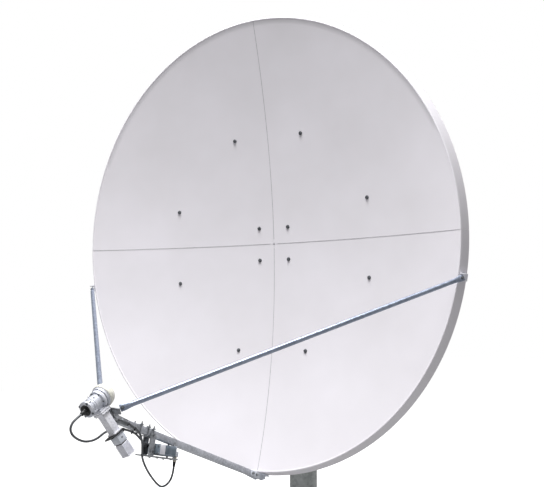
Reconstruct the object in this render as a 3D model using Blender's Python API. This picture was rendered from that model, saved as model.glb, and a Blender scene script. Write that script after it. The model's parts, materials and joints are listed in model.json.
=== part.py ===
"""Offset-fed earth-station antenna: a four-petal reflector on an adjustable head on a pipe mast.

Units are metres, +Z is up and the reflector looks towards -Y. The origin is the middle of the
mast's base plate, on the foundation. Three frames carry the pieces:
  head frame    fixed axes through the elevation axis, above the mast
  dish frame    at the elevation axis, X right, Y up the rim plane, Z out of the rim plane
  feed frame    at the mouth of the feed, Y along the filter arm, Z towards the dish
"""

import math

import bmesh
import bpy
from mathutils import Matrix, Vector

# ---- Reflector -------------------------------------------------------------------------------
APERTURE = 2.4  # diameter seen along the beam
FOCAL = 1.44
SKIN = 0.009
LIP = 0.010  # flat ring round the front edge
WALL_FLARE = 0.025  # how far the rim wall leans out
WALL_DEPTH = 0.058  # how far it runs back
WALL = 0.007
SEAM_GAP = 0.0012
FLANGE_DEPTH = 0.028  # seam flange, from the front surface
FLANGE = 0.010
BOSS_R = 0.022
BOSS_RUN = 0.031  # front surface to hub at the middle of the dish
INNER_BOLT = (0.0967, 0.0957)
OUTER_BOLT = (0.6304, 0.2227)  # along the arm, across the arm
RINGS = 8
SECTORS = 14
DISH_TILT = math.radians(-1.37)  # rim plane from upright, at rest

# ---- Fasteners and running gaps --------------------------------------------------------------
TOUCH = 0.0004  # gap between pieces that touch
RUN = 0.0004  # radial gap round a turning pin
M10_R = 0.005
M10_HEAD_R = 0.010
M10_HEAD = 0.0065
HOLE_GAP = 0.0006

# ---- Mast ------------------------------------------------------------------------------------
MAST_R = 0.08415
MAST_WALL = 0.0071
PIVOT_HEIGHT = 2.065
BASE_SIDE = 0.46
BASE_PLATE = 0.020
ANCHOR_AT = 0.180
ANCHOR_R = 0.014
GUSSET_HEIGHT = 0.150
GUSSET_REACH = 0.110
GUSSET = 0.010

# ---- Azimuth head ----------------------------------------------------------------------------
CANISTER_GAP = 0.0012
CANISTER_WALL = 0.009
CANISTER_R = MAST_R + CANISTER_GAP + CANISTER_WALL
CANISTER_TOP = -0.265  # below the elevation axis
CANISTER_RUN = 0.295
CANISTER_CAP = 0.012
EAR = 0.012
EAR_X = 0.080
EAR_R = 0.055
COLLAR_RUN = 0.070
COLLAR_DROP = 0.035  # gap under the canister
COLLAR_WALL = 0.016
TONGUE = 0.020
TONGUE_R = 0.125  # push bolts' distance from the mast axis
PUSH_R = 0.006
PUSH_LUG_X = 0.065
PUSH_TRAVEL = 0.019
PUSH_TIP_GAP = 0.0012
LOCK_R = 0.008

# ---- Elevation frame -------------------------------------------------------------------------
PIVOT_TO_HUB = 0.350  # elevation axis to the hub's front face
HUB_SIDE = 0.260
HUB_DEPTH = 0.090
HUB_PLATE = 0.012
HUB_WALL = 0.006
SHAFT_R = 0.0125
NUT = 0.016
YOKE_X = 0.096
YOKE_EAR = 0.012
YOKE_PLATE = 0.011
ARM = 0.050
ARM_RISE = 0.045  # how far an arm leans towards the skin
CROSSBAR = 0.050
CROSSBAR_DEPTH = 0.036
CROSSBAR_RISE = 0.037  # crossbar's front, in front of the hub's front
CROSSBAR_HALF = 0.260

# ---- Elevation jack --------------------------------------------------------------------------
JACK_ARM = 0.340  # elevation axis to both jack pins
JACK_X = CANISTER_R + 0.071
TRUNNION_ANGLE = math.radians(15.0)  # forward of straight down
ROD_PIN_ANGLE = math.radians(61.25)
ROD_R = 0.012
ROD_RUN = 0.630
EYE_R = 0.021
EYE_WIDTH = 0.034
JACK_PIN_R = 0.009
BLOCK = 0.050
BLOCK_WIDTH = 0.036
LUG = 0.006
LUG_GAP = 0.001
JACK_NUT_R = 0.019
JACK_NUT = 0.016

# ---- Feed support ----------------------------------------------------------------------------
BOOM = 0.032
BOOM_WALL = 0.003
BOOM_END_BELOW = 0.135  # boom end below the feed axis, across it
BOOM_END_FORWARD = 0.034  # and towards the dish from the feed's mouth
BOOM_FOOT = (0.0137, 0.0130)  # boom axis below the rim's lowest point, and in front of it
CHEEK = 0.004
CHEEK_X = BOOM / 2 + 0.0006
STRUT_R = 0.012
STRUT_RIM_ANGLE = math.radians(10.6)
STRUT_OUT = 0.0250  # a strut's rim end, outside the rim's edge
STRUT_BEHIND = 0.006  # and behind the rim plane
FOOT_HALF = 0.020
FOOT_PLATE = 0.003
FOOT_GAP = 0.0016  # to the rim wall's outer face
STRUT_FEED_X = 0.050

# ---- Feed ------------------------------------------------------------------------------------
FEED_DROP = 0.012  # feed axis below the focus, along the rim plane
SKEW = math.radians(20.0)
CAP_R = 0.050
CAP_WALL = 0.0025
NECK_R = 0.030
RING_R = 0.045
RING = 0.012
OMT_R = 0.032
OMT_END = 0.114
ARM_AT = -0.047  # filter arm along the feed axis
FILTER = 0.038
FILTER_RUN = 0.100
PLATE_LONG = 0.084
PLATE_WIDE = 0.056
LNB_WIDE = 0.046
LNB_RUN = 0.106

# ---- Block up-converter ----------------------------------------------------------------------
BUC_ALONG = 0.347  # its middle, from the boom's feed end
BUC_DROP = 0.090
BUC_TILT = math.radians(7.0)
BUC_X = 0.040
BUC_Y = (-0.035, 0.105)
BUC_Z = (0.0064, 0.056)
RAIL_Y = (-0.118, 0.139)
RAIL = 0.006
HANGERS = ((-0.090, -0.048, 0.100), (0.108, 0.120, 0.074))  # start, end, top
ELBOW_AT = 0.153
FRONT_PORT_Z = 0.042
PORT_R = 0.009
LEAD_R = 0.005

# Routes of the two leads, in the dish frame, counted from the middle of the rim.
TRANSMIT_ROUTE = [
    (0.0, -0.8210, 1.4604), (-0.001, -0.8330, 1.4850), (-0.005, -0.8480, 1.5050),
    (-0.010, -0.8700, 1.5130), (-0.016, -0.8920, 1.5010), (-0.022, -0.9110, 1.4760),
    (-0.029, -0.9280, 1.4400), (-0.035, -0.9400, 1.4020), (-0.041, -0.9450, 1.3640),
    (-0.046, -0.9450, 1.3270), (-0.049, -0.9390, 1.2930), (-0.050, -0.9280, 1.2640),
    (-0.044, -0.9180, 1.2390), (-0.031, -0.9110, 1.2170), (-0.016, -0.9120, 1.1970),
    (-0.007, -0.9160, 1.1760), (-0.004, -0.9240, 1.1500), (-0.003, -0.9340, 1.1210),
    (-0.001, -0.9490, 1.0930), (0.0, -0.9690, 1.0680), (0.0, -0.9890, 1.0430),
    (0.0, -1.0080, 1.0180), (0.0, -1.0168, 0.9839),
]
RECEIVE_ROUTE = [
    (0.0275, -0.8588, 1.2650), (0.0275, -0.8670, 1.2430), (0.0275, -0.8765, 1.2150),
    (0.0275, -0.8890, 1.1840), (0.0250, -0.9030, 1.1560), (0.0220, -0.9160, 1.1300),
    (0.0230, -0.9340, 1.1060), (0.0240, -0.9600, 1.0900), (0.0230, -0.9900, 1.0800),
    (0.0210, -1.0200, 1.0770), (0.0180, -1.0520, 1.0730), (0.0130, -1.0880, 1.0500),
    (0.0080, -1.1270, 1.0160), (0.0050, -1.1640, 0.9780), (0.0020, -1.1960, 0.9380),
    (0.0, -1.2140, 0.9030), (0.0, -1.2130, 0.8660), (0.0, -1.1960, 0.8320),
    (0.0, -1.1690, 0.8130), (0.0, -1.1390, 0.8040), (0.0, -1.1080, 0.7972),
]
LEAD_STEP = 0.022


# ---- Reflector geometry ----------------------------------------------------------------------
class Paraboloid:
    """The reflecting surface in rim coordinates: u right, v up the rim plane, w out of it."""

    def __init__(self, aperture, focal):
        radius = offset = aperture / 2
        self.focal = focal
        self.offset = offset
        self.lean = math.atan(offset / (2 * focal))
        self.sin, self.cos = math.sin(self.lean), math.cos(self.lean)
        self.middle = ((offset - radius) ** 2 + (offset + radius) ** 2) / (8 * focal)
        self.half_u = radius
        self.half_v = radius / self.cos
        rise = focal - self.middle
        self.focus_v = -offset * self.cos + rise * self.sin
        self.focus_w = offset * self.sin + rise * self.cos

    def depth(self, u, v):
        """w of the surface at (u, v), negative inside the bowl."""
        across = self.offset + v * self.cos
        b = -2 * self.sin * across - 4 * self.focal * self.cos
        c = u * u + across * across - 4 * self.focal * (self.middle + v * self.sin)
        return (-b - math.sqrt(b * b - 4 * self.sin**2 * c)) / (2 * self.sin**2)


DISH = Paraboloid(APERTURE, FOCAL)
HUB_W = DISH.depth(0, 0) - BOSS_RUN  # hub's front face, from the rim plane
RIM_W = PIVOT_TO_HUB - HUB_W  # rim plane, from the elevation axis
CROSSBAR_W = HUB_W + CROSSBAR_RISE
OUTER_AT, OUTER_ACROSS = OUTER_BOLT


def rim_point(u, v, w):
    """A point given from the middle of the rim, in the dish frame."""
    return Vector((u, v, w + RIM_W))


# ---- Small tools -----------------------------------------------------------------------------
def clear_scene():
    for obj in list(bpy.data.objects):
        bpy.data.objects.remove(obj, do_unlink=True)


def finish(name, color, roughness, metallic):
    material = bpy.data.materials.new(name)
    material.use_nodes = True
    shader = material.node_tree.nodes["Principled BSDF"]
    shader.inputs["Base Color"].default_value = (*color, 1.0)
    shader.inputs["Roughness"].default_value = roughness
    shader.inputs["Metallic"].default_value = metallic
    material.diffuse_color = (*color, 1.0)
    return material


def frame(name, parent, matrix):
    empty = bpy.data.objects.new(name, None)
    bpy.context.scene.collection.objects.link(empty)
    empty.parent = parent
    empty.matrix_local = matrix
    return empty


def put(name, bm, parent, material, smooth=True):
    """Turns a bmesh into an object in its parent's frame."""
    bmesh.ops.recalc_face_normals(bm, faces=bm.faces)
    mesh = bpy.data.meshes.new(name)
    bm.to_mesh(mesh)
    bm.free()
    if smooth:
        mesh.shade_smooth()
        mesh.set_sharp_from_angle(angle=math.radians(35))
    mesh.materials.append(material)
    obj = bpy.data.objects.new(name, mesh)
    bpy.context.scene.collection.objects.link(obj)
    obj.parent = parent
    return obj


def helper(obj):
    obj.hide_render = True
    obj.display_type = "WIRE"
    return obj


def combine(obj, others, operation):
    for other in others:
        step = obj.modifiers.new(f"{operation.lower()} {other.name}", "BOOLEAN")
        step.operation = operation
        step.solver = "EXACT"
        step.object = helper(other)
    return obj


def join(obj, *others):
    return combine(obj, others, "UNION")


def cut(obj, *others):
    return combine(obj, others, "DIFFERENCE")


def box_mesh(low, high):
    bm = bmesh.new()
    bmesh.ops.create_cube(bm, size=1.0)
    low, high = Vector(low), Vector(high)
    size = high - low
    bmesh.ops.scale(bm, vec=size, verts=bm.verts)
    bmesh.ops.translate(bm, vec=(low + high) / 2, verts=bm.verts)
    return bm


def box(name, low, high, parent, material, bevel=0.0):
    bm = box_mesh(low, high)
    if bevel:
        bmesh.ops.bevel(bm, geom=bm.edges[:], offset=bevel, segments=1, affect="EDGES")
    return put(name, bm, parent, material, smooth=False)


def along(start, direction):
    """A matrix that takes +Z to direction and the origin to start."""
    turn = Vector(direction).normalized().to_track_quat("Z", "Y").to_matrix().to_4x4()
    return Matrix.Translation(Vector(start)) @ turn


def cylinder_mesh(start, end, radius, sides):
    start, end = Vector(start), Vector(end)
    bm = bmesh.new()
    bmesh.ops.create_cone(
        bm, cap_ends=True, segments=sides, radius1=radius, radius2=radius,
        depth=(end - start).length, matrix=along((start + end) / 2, end - start),
    )
    return bm


def cylinder(name, start, end, radius, parent, material, sides=16):
    return put(name, cylinder_mesh(start, end, radius, sides), parent, material)


def turned(name, outline, start, direction, parent, material, sides=24):
    """A closed turned piece. The outline is (radius, distance along the axis) points, and it
    closes on itself, or on the axis where it starts and ends at radius 0."""
    bm = bmesh.new()
    on_axis = outline[0][0] == 0 and outline[-1][0] == 0
    inner = outline[1:-1] if on_axis else outline
    rings = []
    for radius, z in inner:
        rings.append([
            bm.verts.new((radius * math.cos(a), radius * math.sin(a), z))
            for a in (2 * math.pi * k / sides for k in range(sides))
        ])
    pairs = list(zip(rings, rings[1:]))
    if not on_axis:
        pairs.append((rings[-1], rings[0]))
    for first, second in pairs:
        for k in range(sides):
            n = (k + 1) % sides
            bm.faces.new((first[k], first[n], second[n], second[k]))
    if on_axis:
        for ring, end in ((rings[0], outline[0]), (rings[-1], outline[-1])):
            tip = bm.verts.new((0, 0, end[1]))
            for k in range(sides):
                bm.faces.new((tip, ring[k], ring[(k + 1) % sides]))
    bmesh.ops.transform(bm, matrix=along(start, direction), verts=bm.verts)
    return put(name, bm, parent, material)


def prism(name, outline, low, high, plane, parent, material):
    """A flat outline extruded from low to high across its plane: "YZ", "XZ" or "XY"."""
    place = {
        "YZ": lambda a, b, c: (c, a, b),
        "XZ": lambda a, b, c: (a, c, b),
        "XY": lambda a, b, c: (a, b, c),
    }[plane]
    bm = bmesh.new()
    near = [bm.verts.new(place(a, b, low)) for a, b in outline]
    far = [bm.verts.new(place(a, b, high)) for a, b in outline]
    bm.faces.new(near)
    bm.faces.new(list(reversed(far)))
    count = len(outline)
    for k in range(count):
        n = (k + 1) % count
        bm.faces.new((near[n], near[k], far[k], far[n]))
    return put(name, bm, parent, material, smooth=False)


def hex_bolt(name, tip, head_at, direction, radius, head_r, head, parent, material):
    """A bolt whose shank runs from tip to head_at along direction, with a hexagon head beyond."""
    direction = Vector(direction).normalized()
    tip, seat = Vector(tip), Vector(head_at)
    run = (seat - tip).length
    bm = bmesh.new()
    sides = 6
    rings = []
    for r, z in ((radius, 0.0), (radius, run), (head_r, run), (head_r, run + head)):
        rings.append([
            bm.verts.new((r * math.cos(a), r * math.sin(a), z))
            for a in (2 * math.pi * k / sides for k in range(sides))
        ])
    for first, second in zip(rings, rings[1:]):
        for k in range(sides):
            n = (k + 1) % sides
            bm.faces.new((first[k], first[n], second[n], second[k]))
    bm.faces.new(rings[0])
    bm.faces.new(rings[-1])
    bmesh.ops.transform(bm, matrix=along(tip, direction), verts=bm.verts)
    return put(name, bm, parent, material, smooth=False)


def arc(centre, radius, first, last, steps):
    """Points on an arc, from angle first to last in degrees."""
    turns = (math.radians(first + (last - first) * k / steps) for k in range(steps + 1))
    return [(centre[0] + radius * math.cos(a), centre[1] + radius * math.sin(a)) for a in turns]


# ---- Materials -------------------------------------------------------------------------------
def make_finishes():
    return {
        "dish": finish("dish_white_gelcoat", (0.72, 0.72, 0.74), 0.55, 0.0),
        "galvanised": finish("galvanised_steel", (0.36, 0.37, 0.38), 0.50, 0.85),
        "tube": finish("bright_zinc_tube", (0.50, 0.52, 0.56), 0.35, 0.9),
        "bolt": finish("zinc_plated_bolt", (0.55, 0.55, 0.56), 0.35, 0.9),
        "cream": finish("cream_cap_plastic", (0.86, 0.84, 0.76), 0.45, 0.0),
        "cast": finish("cast_aluminium", (0.62, 0.63, 0.66), 0.45, 0.8),
        "white": finish("white_painted_aluminium", (0.80, 0.80, 0.83), 0.40, 0.0),
        "black": finish("black_rubber", (0.02, 0.02, 0.02), 0.60, 0.0),
        "grey": finish("grey_painted_casting", (0.30, 0.33, 0.36), 0.50, 0.0),
    }


# ---- Mast ------------------------------------------------------------------------------------
def make_mast(finishes):
    steel = finishes["galvanised"]
    half = BASE_SIDE / 2
    plate = box("mast_base_plate", (-half, -half, 0), (half, half, BASE_PLATE), None, steel)
    foot = MAST_R + 0.001
    for k in range(4):
        outline = [
            (foot, BASE_PLATE - 0.002), (foot + GUSSET_REACH, BASE_PLATE - 0.002),
            (foot + GUSSET_REACH, BASE_PLATE + 0.015), (foot + 0.015, BASE_PLATE + GUSSET_HEIGHT),
            (foot, BASE_PLATE + GUSSET_HEIGHT),
        ]
        gusset = prism(f"gusset_{k}", outline, -GUSSET / 2, GUSSET / 2, "XZ", None, steel)
        gusset.rotation_euler.z = k * math.pi / 2
        join(plate, gusset)
    for x in (-ANCHOR_AT, ANCHOR_AT):
        for y in (-ANCHOR_AT, ANCHOR_AT):
            hole = cylinder(
                f"anchor_hole_{x}_{y}", (x, y, -0.01), (x, y, BASE_PLATE + 0.01), ANCHOR_R,
                None, steel,
            )
            cut(plate, hole)
    bottom, top = BASE_PLATE + TOUCH, PIVOT_HEIGHT + CANISTER_TOP - CANISTER_CAP - TOUCH
    turned(
        "mast_pipe",
        [(MAST_R, bottom), (MAST_R, top), (MAST_R - MAST_WALL, top), (MAST_R - MAST_WALL, bottom)],
        (0, 0, 0), (0, 0, 1), None, steel, sides=32,
    )


# ---- Azimuth collar and head -----------------------------------------------------------------
def make_collar(finishes, head):
    """A split collar clamped on the mast. Its tongue is what the push bolts press on."""
    steel = finishes["galvanised"]
    top = CANISTER_TOP - CANISTER_RUN - COLLAR_DROP
    bottom = top - COLLAR_RUN
    inner, outer = MAST_R + RUN, MAST_R + COLLAR_WALL
    collar = turned(
        "azimuth_collar",
        [(outer, bottom), (outer, top), (inner, top), (inner, bottom)],
        (0, 0, 0), (0, 0, 1), head, steel, sides=32,
    )
    reach = outer + 0.042
    ears = box("collar_ears", (-reach, -0.018, bottom + 0.008), (-outer + 0.006, 0.018, top - 0.008),
               head, steel)
    slot = box("collar_slot", (-reach - 0.01, -0.005, bottom - 0.01), (-inner + 0.01, 0.005,
               top + 0.01), head, steel)
    bolt_x, bolt_z = -outer - 0.024, (top + bottom) / 2
    hole = cylinder("collar_bolt_hole", (bolt_x, -0.05, bolt_z), (bolt_x, 0.05, bolt_z),
                    M10_R + HOLE_GAP, head, steel, sides=12)
    near = max(outer - 0.006, CANISTER_R + 0.004)
    tongue_low = box("tongue_foot", (-TONGUE / 2, outer - 0.006, bottom + 0.010),
                     (TONGUE / 2, TONGUE_R + 0.020, top - 0.004), head, steel)
    tongue = box("tongue", (-TONGUE / 2, near, top - 0.020),
                 (TONGUE / 2, TONGUE_R + 0.020, top + COLLAR_DROP + 0.058), head, steel)
    join(collar, ears, tongue_low, tongue)
    cut(collar, slot, hole)
    hex_bolt("collar_clamp_bolt", (bolt_x, 0.032, bolt_z), (bolt_x, -0.018 - TOUCH, bolt_z),
             (0, -1, 0), M10_R, M10_HEAD_R, M10_HEAD, head, finishes["bolt"])


def trunnion_place():
    """The jack's lower pin, from the elevation axis: (y, z)."""
    return -JACK_ARM * math.sin(TRUNNION_ANGLE), -JACK_ARM * math.cos(TRUNNION_ANGLE)


def rod_pin_place():
    """The jack's upper pin at rest, from the elevation axis: (y, z)."""
    return -JACK_ARM * math.sin(ROD_PIN_ANGLE), -JACK_ARM * math.cos(ROD_PIN_ANGLE)


def make_head(finishes, head):
    """The canister that drops over the mast, with the ears that carry the elevation axis."""
    steel = finishes["galvanised"]
    bottom = CANISTER_TOP - CANISTER_RUN
    inside = CANISTER_TOP - CANISTER_CAP
    bore = MAST_R + CANISTER_GAP
    canister = turned(
        "azimuth_canister",
        [(0, CANISTER_TOP), (CANISTER_R, CANISTER_TOP), (CANISTER_R, bottom), (bore, bottom),
         (bore, inside), (0, inside)],
        (0, 0, 0), (0, 0, 1), head, steel, sides=32,
    )
    pieces = []
    ear_outline = arc((0, 0), EAR_R, 0, 180, 12) + [(-EAR_R, CANISTER_TOP - 0.006),
                                                   (EAR_R, CANISTER_TOP - 0.006)]
    for side in (-1, 1):
        low, high = sorted((side * (EAR_X - EAR / 2), side * (EAR_X + EAR / 2)))
        pieces.append(prism(f"azimuth_ear_{side}", ear_outline, low, high, "YZ", head, steel))
        lug_low, lug_high = sorted((side * (PUSH_LUG_X - 0.005), side * (PUSH_LUG_X + 0.005)))
        wall = math.sqrt((CANISTER_R - CANISTER_WALL / 2) ** 2 - (PUSH_LUG_X - 0.005) ** 2)
        pieces.append(box(f"push_lug_{side}", (lug_low, wall, bottom + 0.006),
                          (lug_high, TONGUE_R + 0.018, bottom + 0.054), head, steel))
    pieces += jack_bracket(steel, head)
    join(canister, *pieces)
    shaft_hole = cylinder("shaft_hole", (-0.2, 0, 0), (0.2, 0, 0), SHAFT_R + RUN, head, steel)
    push_hole = cylinder("push_hole", (-0.2, TONGUE_R, bottom + 0.030),
                         (0.2, TONGUE_R, bottom + 0.030), PUSH_R + HOLE_GAP, head, steel, 12)
    lock_hole = cylinder("lock_hole", (-0.2, 0, bottom + 0.10), (-0.05, 0, bottom + 0.10),
                         LOCK_R + HOLE_GAP, head, steel, 12)
    pin_y, pin_z = trunnion_place()
    pin_hole = cylinder("trunnion_pin_hole", (JACK_X - 0.05, pin_y, pin_z),
                        (JACK_X + 0.05, pin_y, pin_z), JACK_PIN_R + RUN, head, steel)
    cut(canister, shaft_hole, push_hole, lock_hole, pin_hole)
    hex_bolt("canister_lock_bolt", (-MAST_R - TOUCH, 0, bottom + 0.10),
             (-CANISTER_R - 0.022, 0, bottom + 0.10), (-1, 0, 0), LOCK_R, 0.013, 0.011, head,
             finishes["bolt"])


def jack_bracket(steel, head):
    """Two lugs for the trunnion block, joined below it and welded to the canister's side."""
    pin_y, pin_z = trunnion_place()
    inner = JACK_X - BLOCK_WIDTH / 2 - LUG_GAP
    outer = JACK_X + BLOCK_WIDTH / 2 + LUG_GAP
    outline = [(pin_y + y, pin_z + z) for y, z in arc((0, 0), 0.022, -30, 120, 6)]
    outline += [(pin_y - 0.058, pin_z - 0.030), (pin_y - 0.034, pin_z - 0.058)]
    pieces = [
        prism("jack_lug_inner", outline, inner - LUG, inner, "YZ", head, steel),
        prism("jack_lug_outer", outline, outer, outer + LUG, "YZ", head, steel),
    ]
    bridge = [(pin_y - 0.054, pin_z - 0.034), (pin_y - 0.050, pin_z - 0.030),
              (pin_y - 0.034, pin_z - 0.046), (pin_y - 0.038, pin_z - 0.050)]
    pieces.append(prism("jack_bridge", bridge, inner - LUG / 2, outer + LUG / 2, "YZ", head, steel))
    near = pin_y + 0.019
    start = math.sqrt((CANISTER_R - CANISTER_WALL / 2) ** 2 - near**2)
    pieces.append(box("jack_arm", (start, pin_y - 0.020, pin_z - 0.024),
                      (inner - LUG / 2, near, pin_z + 0.010), head, steel))
    return pieces


def make_push_bolts(finishes, head):
    height = CANISTER_TOP - CANISTER_RUN + 0.030
    seat = PUSH_LUG_X + 0.005 + PUSH_TRAVEL + 0.002
    for side, name in ((-1, "left"), (1, "right")):
        hex_bolt(
            f"azimuth_push_bolt_{name}",
            (side * (TONGUE / 2 + PUSH_TIP_GAP), TONGUE_R, height), (side * seat, TONGUE_R, height),
            (side, 0, 0), PUSH_R, 0.0105, 0.008, head, finishes["bolt"],
        )


def make_pivot(finishes, head):
    """The elevation shaft, with its head on the left and its nut on the right."""
    end = YOKE_X + YOKE_EAR / 2 + TOUCH
    hex_bolt("elevation_shaft", (end + NUT + 0.010, 0, 0), (-end, 0, 0), (-1, 0, 0), SHAFT_R,
             0.021, 0.014, head, finishes["bolt"])
    turned("shaft_nut", [(0.021, end), (0.021, end + NUT), (SHAFT_R + RUN, end + NUT),
                         (SHAFT_R + RUN, end)], (0, 0, 0), (1, 0, 0), head, finishes["bolt"],
           sides=6)


# ---- Elevation frame -------------------------------------------------------------------------
def make_yoke(finishes, dish):
    steel = finishes["galvanised"]
    back = PIVOT_TO_HUB - HUB_DEPTH - TOUCH
    half = HUB_SIDE / 2 - 0.004
    plate = box("elevation_yoke", (-half, -half, back - YOKE_PLATE), (half, half, back), dish,
                steel)
    ear = [(v, w) for w, v in arc((0, 0), EAR_R, 90, 270, 12)]
    ear += [(-half + 0.012, back - YOKE_PLATE / 2), (half - 0.012, back - YOKE_PLATE / 2)]
    for side in (-1, 1):
        low, high = sorted((side * (YOKE_X - YOKE_EAR / 2), side * (YOKE_X + YOKE_EAR / 2)))
        join(plate, prism(f"yoke_ear_{side}", ear, low, high, "YZ", dish, steel))
    cut(plate, cylinder("yoke_hole", (-0.2, 0, 0), (0.2, 0, 0), SHAFT_R + RUN, dish, steel))


def jack_pin_in_dish():
    """The rod's pin in the dish frame: (v, w from the elevation axis)."""
    y, z = rod_pin_place()
    v = y * math.sin(DISH_TILT) + z * math.cos(DISH_TILT)
    w = -y * math.cos(DISH_TILT) + z * math.sin(DISH_TILT)
    return v, w


def make_hub(finishes, dish):
    """A shallow tray behind the petals, open to the back, with the lugs for the jack's rod."""
    steel = finishes["galvanised"]
    half, front = HUB_SIDE / 2, PIVOT_TO_HUB
    hub = box("hub_frame", (-half, -half, front - HUB_DEPTH), (half, half, front), dish, steel)
    inside = half - HUB_WALL
    tray = box("hub_inside", (-inside, -inside, front - HUB_DEPTH - 0.02),
               (inside, inside, front - HUB_PLATE), dish, steel)
    cut(hub, tray)
    pin_v, pin_w = jack_pin_in_dish()
    inner, outer = JACK_X - EYE_WIDTH / 2 - LUG_GAP, JACK_X + EYE_WIDTH / 2 + LUG_GAP
    lug = [(pin_v + v, pin_w + w) for w, v in arc((0, 0), 0.022, 90, 270, 8)]
    strap = pin_w + 0.026
    lug += [(pin_v - 0.022, strap + 0.004), (pin_v + 0.022, strap + 0.004)]
    pieces = [
        prism("rod_lug_inner", lug, inner - LUG, inner, "YZ", dish, steel),
        prism("rod_lug_outer", lug, outer, outer + LUG, "YZ", dish, steel),
        box("rod_strap", (half - HUB_WALL / 2, pin_v - 0.026, strap),
            (outer + LUG, min(pin_v + 0.100, -0.040), strap + 0.008), dish, steel),
    ]
    join(hub, *pieces)
    cut(hub, cylinder("rod_pin_hole", (inner - 0.02, pin_v, pin_w), (outer + 0.02, pin_v, pin_w),
                      JACK_PIN_R + RUN, dish, steel))
    for k, (u, v) in enumerate(corner_points(*INNER_BOLT)):
        cut(hub, cylinder(f"hub_hole_{k}", (u, v, front - HUB_PLATE - 0.01), (u, v, front + 0.01),
                          M10_R + HOLE_GAP, dish, steel, 8))
    cylinder("rod_pin", (inner - LUG - 0.004, pin_v, pin_w), (outer + LUG + 0.004, pin_v, pin_w),
             JACK_PIN_R, dish, finishes["bolt"], sides=16)


def corner_points(a, b):
    return [(a, b), (-a, b), (-a, -b), (a, -b)]


def make_arms(finishes, dish):
    """Four arms that fan out from the hub, each with a crossbar behind two outer bosses."""
    steel = finishes["galvanised"]
    start = HUB_SIDE / 2 + TOUCH
    end = OUTER_AT + CROSSBAR / 2
    root = PIVOT_TO_HUB - 0.013 - ARM
    bar_front = PIVOT_TO_HUB + CROSSBAR_RISE
    for name, turn in (("right", 0), ("top", 90), ("left", 180), ("bottom", 270)):
        spin = Matrix.Rotation(math.radians(turn), 4, "Z")
        place = frame(f"arm_frame_{name}", dish, spin)
        outline = [(start, root), (start, root + ARM), (end, root + ARM_RISE + ARM),
                   (end, root + ARM_RISE)]
        arm = prism(f"back_arm_{name}", outline, -ARM / 2, ARM / 2, "XZ", place, steel)
        bar = box(f"crossbar_{name}", (OUTER_AT - CROSSBAR / 2, -CROSSBAR_HALF,
                  bar_front - CROSSBAR_DEPTH), (end, CROSSBAR_HALF, bar_front), place, steel)
        join(arm, bar)
        for side in (-1, 1):
            across = side * OUTER_ACROSS
            cut(arm, cylinder(f"bar_hole_{name}_{side}", (OUTER_AT, across, bar_front + 0.01),
                              (OUTER_AT, across, bar_front - CROSSBAR_DEPTH - 0.02),
                              M10_R + HOLE_GAP, place, steel, 8))


# ---- Reflector -------------------------------------------------------------------------------
def petal_mesh(flip_u, flip_v):
    """One quarter of the reflector: skin, lip and rim wall, fanned out from the middle."""
    gap = SEAM_GAP / 2
    start = Vector((gap, gap))
    first = math.asin(gap / DISH.half_v)
    last = math.acos(gap / DISH.half_u)
    fronts, backs = [], []

    def at(ring, sector, grow=0.0):
        a = first + (last - first) * sector / SECTORS
        edge = Vector(((DISH.half_u + grow) * math.cos(a), (DISH.half_v + grow) * math.sin(a)))
        if sector == 0:
            edge.y = gap
        if sector == SECTORS:
            edge.x = gap
        return start + (edge - start) * ring

    inner_ring = 1 - LIP / DISH.half_u
    rings = [inner_ring * k / RINGS for k in range(1, RINGS + 1)]
    bm = bmesh.new()

    def vertex(point, w):
        return bm.verts.new((flip_u * point.x, flip_v * point.y, w + RIM_W))

    def surface(point):
        return DISH.depth(flip_u * point.x, flip_v * point.y)

    tip_w = surface(start)
    front_tip, back_tip = vertex(start, tip_w), vertex(start, tip_w - SKIN)
    for ring in rings:
        points = [at(ring, k) for k in range(SECTORS + 1)]
        fronts.append([vertex(p, surface(p)) for p in points])
        backs.append([vertex(p, surface(p) - SKIN) for p in points])
    outline = [(0.0, 0.0), (WALL_FLARE, -WALL_DEPTH), (WALL_FLARE - WALL, -WALL_DEPTH),
               (-0.002, -SKIN - 0.002)]
    for grow, w in outline[:2]:
        fronts.append([vertex(at(1.0, k, grow), w) for k in range(SECTORS + 1)])
    for grow, w in reversed(outline[2:]):
        backs.append([vertex(at(1.0, k, grow), w) for k in range(SECTORS + 1)])
    for tip, strips in ((front_tip, fronts), (back_tip, backs)):
        for k in range(SECTORS):
            bm.faces.new((tip, strips[0][k], strips[0][k + 1]))
            for low, high in zip(strips, strips[1:]):
                bm.faces.new((low[k], high[k], high[k + 1], low[k + 1]))
    for k in range(SECTORS):
        bm.faces.new((fronts[-1][k], backs[-1][k], backs[-1][k + 1], fronts[-1][k + 1]))
    for k in (0, SECTORS):
        bm.faces.new((front_tip, fronts[0][k], backs[0][k], back_tip))
        for n in range(len(fronts) - 1):
            bm.faces.new((fronts[n][k], fronts[n + 1][k], backs[n + 1][k], backs[n][k]))
    return bm


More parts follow.
